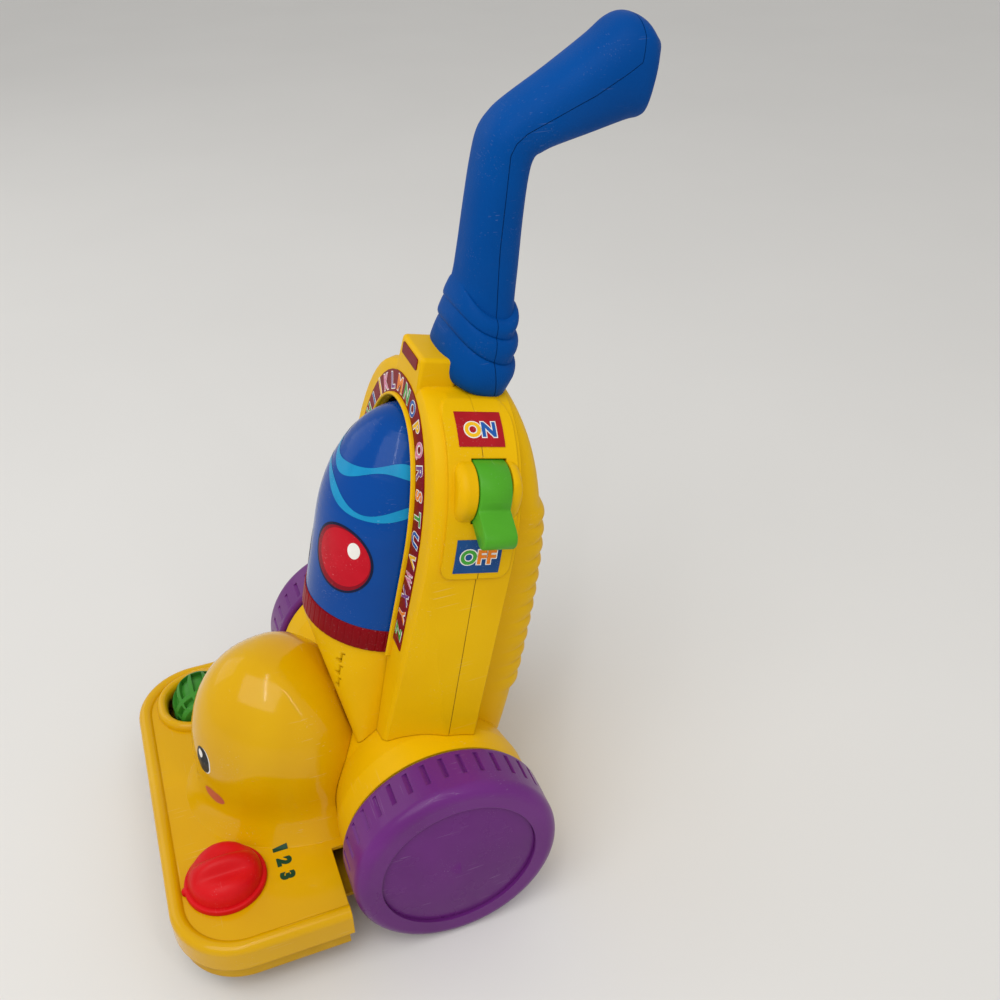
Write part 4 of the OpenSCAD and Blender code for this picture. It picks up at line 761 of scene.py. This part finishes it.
# Switch labels: two film stickers on the raised field, dark red above the lever and blue below it, with
# ON and OFF in coloured capitals with white edges. The film bends with the shoulder of the upright.
label_red = moulded("label_red", tint(170, 18, 30), tint(160, 14, 26), 0.34, grain=2200.0, depth=0.05,
                    flow=50.0)
label_blue = moulded("label_blue", tint(18, 72, 132), tint(14, 64, 122), 0.34, grain=2200.0, depth=0.05,
                     flow=50.0)
on_field = fitted(smooth_shell("on_label", 30), label_red, "label_red", "body", "on_label")
off_field = fitted(smooth_shell("off_label", 30), label_blue, "label_blue", "body", "off_label")


def label_word(name, word, field, low, high, tall, inks):
    surface = surface_of(field)
    backward = (on_upright(0, 1, 0) - on_upright(0, 0, 0)) * 1000
    outside, label_depth, clear = 140.0, 23.0, 0.02
    starts = [on_upright(outside, label_depth, height) for height in (low, high)]
    rim = [surface.ray_cast(start, Vector((-1, 0, 0)))[0] for start in starts]
    rising = (rim[1] - rim[0]).normalized()
    away = backward.cross(rising).normalized()
    if away.x < 0:
        away = -away
    middle = (rim[0] + rim[1]) / 2
    signs, widths, gap = [], [], 0.0014
    for text in word:
        shape = sign(text, tall, 0.0, 0.0)
        widths.append(max(v.co.x for v in shape.verts) - min(v.co.x for v in shape.verts))
        shape.free()
    start = -(sum(widths) + gap * (len(word) - 1)) / 2
    for text, wide, seat in zip(word, widths, range(1, len(word) + 1)):
        for swell, lift, finish in ((0.001, 0.00008, 0), (0.00045, 0.00018, seat)):
            shape = sign(text, tall, swell, 0.0)
            for level in range(-6, 7):
                bmesh.ops.bisect_plane(shape, geom=shape.verts[:] + shape.edges[:] + shape.faces[:],
                                       plane_co=(0, level * tall / 9, 0), plane_no=(0, 1, 0))
            for vert in shape.verts:
                spot = middle + backward * (start + wide / 2 + vert.co.x) + rising * vert.co.y + away * clear
                hit = surface.ray_cast(spot, -away)[0]
                vert.co = hit + away * lift if hit else spot - away * (clear - lift)
            signs.append((shape, finish))
        start += wide + gap
    gather_signs(name, signs, [ink_white] + inks, "body")


word_tall = 0.0078
label_word("word_on", "ON", on_field, 95.2, 105.2, word_tall, [ink_sun, ink_blue])
label_word("word_off", "OFF", off_field, 34.5, 50.5, word_tall, [ink_leaf, ink_orange, ink_orange])

# Handle: two matte blue half shells glued along a seam that follows the side of the stem, with soft
# bellows folds at the foot, a bent stem and a flared grip. A black post inside carries it on the upright.
handle_blue = moulded("handle_blue", tint(0, 73, 149), tint(0, 66, 138), 0.5, grain=1100.0, depth=0.22,
                      flow=10.0, scratch=0.18, grime=0.2, shine=0.05)
handle_y, handle_z, handle_long, handle_tall, handle_half_w = 36.5, 290, 118, 185, 31
folds = [
    (0.015, 0.098, 0.300, 0.025, 0.740, 0.016), (0.033, 0.208, 0.340, 0.097, 0.920, 0.044),
    (0.056, 0.236, 0.338, 0.132, 0.830, 0.030), (0.061, 0.266, 0.359, 0.171, 0.880, 0.036),
    (0.081, 0.293, 0.351, 0.205, 0.770, 0.028), (0.086, 0.319, 0.366, 0.237, 0.790, 0.040),
    (0.113, 0.357, 0.357, 0.280, 0.630, 0.050), (0.138, 0.428, 0.380, 0.382, 0.565, 0.000),
    (0.169, 0.538, 0.403, 0.515, 0.550, 0.000), (0.206, 0.657, 0.427, 0.620, 0.550, 0.000),
    (0.242, 0.735, 0.449, 0.667, 0.565, 0.000), (0.298, 0.781, 0.484, 0.679, 0.575, 0.000),
    (0.371, 0.815, 0.542, 0.690, 0.580, 0.000), (0.533, 0.874, 0.684, 0.709, 0.600, 0.000),
    (0.714, 0.944, 0.842, 0.732, 0.645, 0.000), (0.803, 0.983, 0.902, 0.737, 0.675, 0.000),
    (0.868, 0.993, 0.924, 0.752, 0.665, 0.000), (0.925, 0.978, 0.947, 0.815, 0.600, 0.000),
    (0.962, 0.945, 0.972, 0.890, 0.450, 0.000)]


def on_handle(along, rise):
    return Vector((handle_y + along * handle_long, handle_z + rise * handle_tall))


def eased(before, first, second, after, share):
    return tuple(0.5 * (2 * b + (c - a) * share + (2 * a - 5 * b + 4 * c - d) * share ** 2
                        + (3 * b - a - 3 * c + d) * share ** 3)
                 for a, b, c, d in zip(before, first, second, after))


def rolled(first, second, share, from_crest):
    turn = math.pi / 2 * share
    on, out = (math.sin(turn), 1 - math.cos(turn)) if from_crest else (1 - math.cos(turn), math.sin(turn))
    chord = Vector(((first[2] + second[2] - first[0] - second[0]) * handle_long,
                    (first[3] + second[3] - first[1] - second[1]) * handle_tall)).normalized()
    ends = []
    for k in (0, 2):
        step = Vector(((second[k] - first[k]) * handle_long, (second[k + 1] - first[k + 1]) * handle_tall))
        inward = chord * step.dot(chord)
        moved = (step - inward) * on + inward * out
        ends += [first[k] + moved.x / handle_long, first[k + 1] + moved.y / handle_tall]
    return (*ends, first[4] + (second[4] - first[4]) * out, first[5] + (second[5] - first[5]) * on)


stations, bellows, steps = [], 6, 6
for i in range(len(folds) - 1):
    around = [folds[max(0, min(len(folds) - 1, i + k))] for k in (-1, 0, 1, 2)]
    for step in range(steps):
        if i < bellows:
            stations.append(rolled(folds[i], folds[i + 1], step / steps, i % 2 == 1))
        else:
            stations.append(eased(*around, step / steps))
stations.append(folds[-1])
rims, spokes, fullness = [], 72, 0.8
for fore_run, fore_rise, back_run, back_rise, wide, sag in stations:
    fore, back = on_handle(fore_run, fore_rise), on_handle(back_run, back_rise)
    ring = []
    for spoke in range(spokes):
        turn = 2 * math.pi * spoke / spokes
        spot = (fore + back) / 2 + (back - fore) / 2 * signed_power(math.cos(turn), fullness)
        x = -handle_half_w * wide * signed_power(math.sin(turn), fullness)
        ring.append(Vector((x, spot.x, spot.y - sag * handle_tall * math.sin(turn) ** 2)) / 1000)
    rims.append(ring)
tip = rims[-1]
middle = sum(tip, Vector()) / spokes
for shrink, ahead in ((0.8, 0.0007), (0.45, 0.0012)):
    rims.append([middle + (spot - middle) * shrink + Vector((0, 0.95, 0.31)) * ahead for spot in tip])
handle_points = [spot for ring in rims for spot in ring]
handle_faces = woven(len(rims), spokes)
handle_faces.append(tuple(reversed(range(spokes))))
handle_faces.append(tuple(range((len(rims) - 1) * spokes, len(rims) * spokes)))


def faced_out(piece):
    shape = bmesh.new()
    shape.from_mesh(piece.data)
    bmesh.ops.recalc_face_normals(shape, faces=shape.faces)
    shape.to_mesh(piece.data)
    shape.free()
    return piece


handle_whole = faced_out(new_piece("handle_whole", handle_points, handle_faces))
seam_half = 0.22
seam_line = [(0.20, -0.3), (0.20, 0.16), (0.240, 0.29), (0.264, 0.454), (0.292, 0.584), (0.314, 0.697),
             (0.338, 0.724), (0.383, 0.746), (0.506, 0.778), (0.671, 0.822), (0.794, 0.865), (0.86, 0.892),
             (0.882, 0.95), (0.885, 1.1)]


def seam_block(shift):
    far_front, outside = -200, 80
    line = [on_handle(*spot) for spot in seam_line]
    moved = []
    for i, spot in enumerate(line):
        along = (line[min(i + 1, len(line) - 1)] - line[max(0, i - 1)]).normalized()
        moved.append(spot + Vector((-along.y, along.x)) * shift)
    moved += [Vector((far_front, moved[-1].y)), Vector((far_front, moved[0].y))]
    points = [Vector((x, spot.x, spot.y)) / 1000 for x in (-outside, outside) for spot in moved]
    count = len(moved)
    faces = [tuple(range(count)), tuple(reversed(range(count, 2 * count)))]
    faces += [(i, i + count, (i + 1) % count + count, (i + 1) % count) for i in range(count)]
    return faced_out(new_piece("seam_block", points, faces))


for name, work, shift in (("handle_front_half", "INTERSECT", seam_half),
                          ("handle_rear_half", "DIFFERENCE", -seam_half)):
    block = seam_block(shift)
    cut = handle_whole.modifiers.new("seam", "BOOLEAN")
    cut.operation, cut.solver, cut.object = work, "EXACT", block
    mesh = finished_mesh(handle_whole)
    handle_whole.modifiers.remove(cut)
    bpy.data.objects.remove(block)
    for face in mesh.polygons:
        face.use_smooth = True
    mesh.set_sharp_from_angle(angle=math.radians(48))
    fitted(placed(name + "_skin", mesh), handle_blue, "handle_blue", "body", name)
# The dark blue core inside the handle is painted shade, seen in the narrow gap of the seam between the two
# halves.
seam_shade_blue = moulded("seam_shade_blue", tint(0, 44, 96), tint(0, 38, 86), 0.6, depth=0.1)
core, core_inset = handle_whole.data.copy(), 0.0005
core.name = "handle_seam_shade"
for vert, away in zip(core.vertices, [vert.normal.copy() for vert in core.vertices]):
    vert.co -= away * core_inset
fitted(placed("handle_seam_shade", core), seam_shade_blue, "handle_blue", "body")
bpy.data.objects.remove(handle_whole)
coat_nodes(board_black, "handle_post")

# Studio: a plain pale floor without a horizon in the picture, a large soft lamp above the front right, a
# weaker one from the left, two narrow lamps for the bright lines on the plastic, and an even pale surround.
floor = new_piece("floor", [(-6, -6, 0), (6, -6, 0), (6, 6, 0), (-6, 6, 0)], [(0, 1, 2, 3)])
paper = bpy.data.materials.new("floor_paper")
paper.use_nodes = True
paper_shader = paper.node_tree.nodes["Principled BSDF"]
paper_place = paper.node_tree.nodes.new("ShaderNodeTexCoord").outputs["Object"]
paper_mottle = clouded(paper.node_tree, paper_place, 3.0, 3.0)
paper_colour = between(paper.node_tree, paper_mottle, tint(228, 226, 222), tint(222, 220, 216))
paper.node_tree.links.new(paper_colour, paper_shader.inputs["Base Color"])
paper_shader.inputs["Roughness"].default_value = 0.9
floor.data.materials.append(paper)
lamp_aim = Vector((0.0, -0.02, 0.18))
for name, at, wide, tall, power in (("key_lamp", (0.75, -0.75, 1.75), 1.5, 1.5, 16.0),
                                    ("side_lamp", (-1.2, -1.1, 1.0), 1.2, 1.2, 4.0),
                                    ("strip_lamp", (0.5, -0.3, 1.6), 0.03, 1.2, 2.2),
                                    ("line_lamp", (0.95, 0.25, 1.2), 0.03, 0.9, 1.4)):
    lamp = bpy.data.lights.new(name, "AREA")
    lamp.shape, lamp.size, lamp.size_y, lamp.energy = "RECTANGLE", wide, tall, power
    stand = placed(name, lamp)
    stand.location = at
    stand.rotation_euler = (lamp_aim - Vector(at)).to_track_quat("-Z", "Y").to_euler()
surround = bpy.data.worlds.new("surround")
surround.use_nodes = True
surround.node_tree.nodes["Background"].inputs["Color"].default_value = tint(250, 250, 250)
surround.node_tree.nodes["Background"].inputs["Strength"].default_value = 0.62
bpy.context.scene.world = surround

# Camera: stands at the right front, looking down at the toy as in the photograph. Its place and its lens
# follow from the toy's outline in the picture, and everything is in focus.
camera_lens = bpy.data.cameras.new("camera")
camera_lens.sensor_width = 36.0
camera_lens.lens = 38.7465
camera = placed("camera", camera_lens)
camera.location = (0.48496, -0.11188, 0.57058)
camera.rotation_euler = (0.968774, 0.011762, 1.200019)
bpy.context.scene.camera = camera
bpy.context.scene.view_settings.view_transform = "Standard"
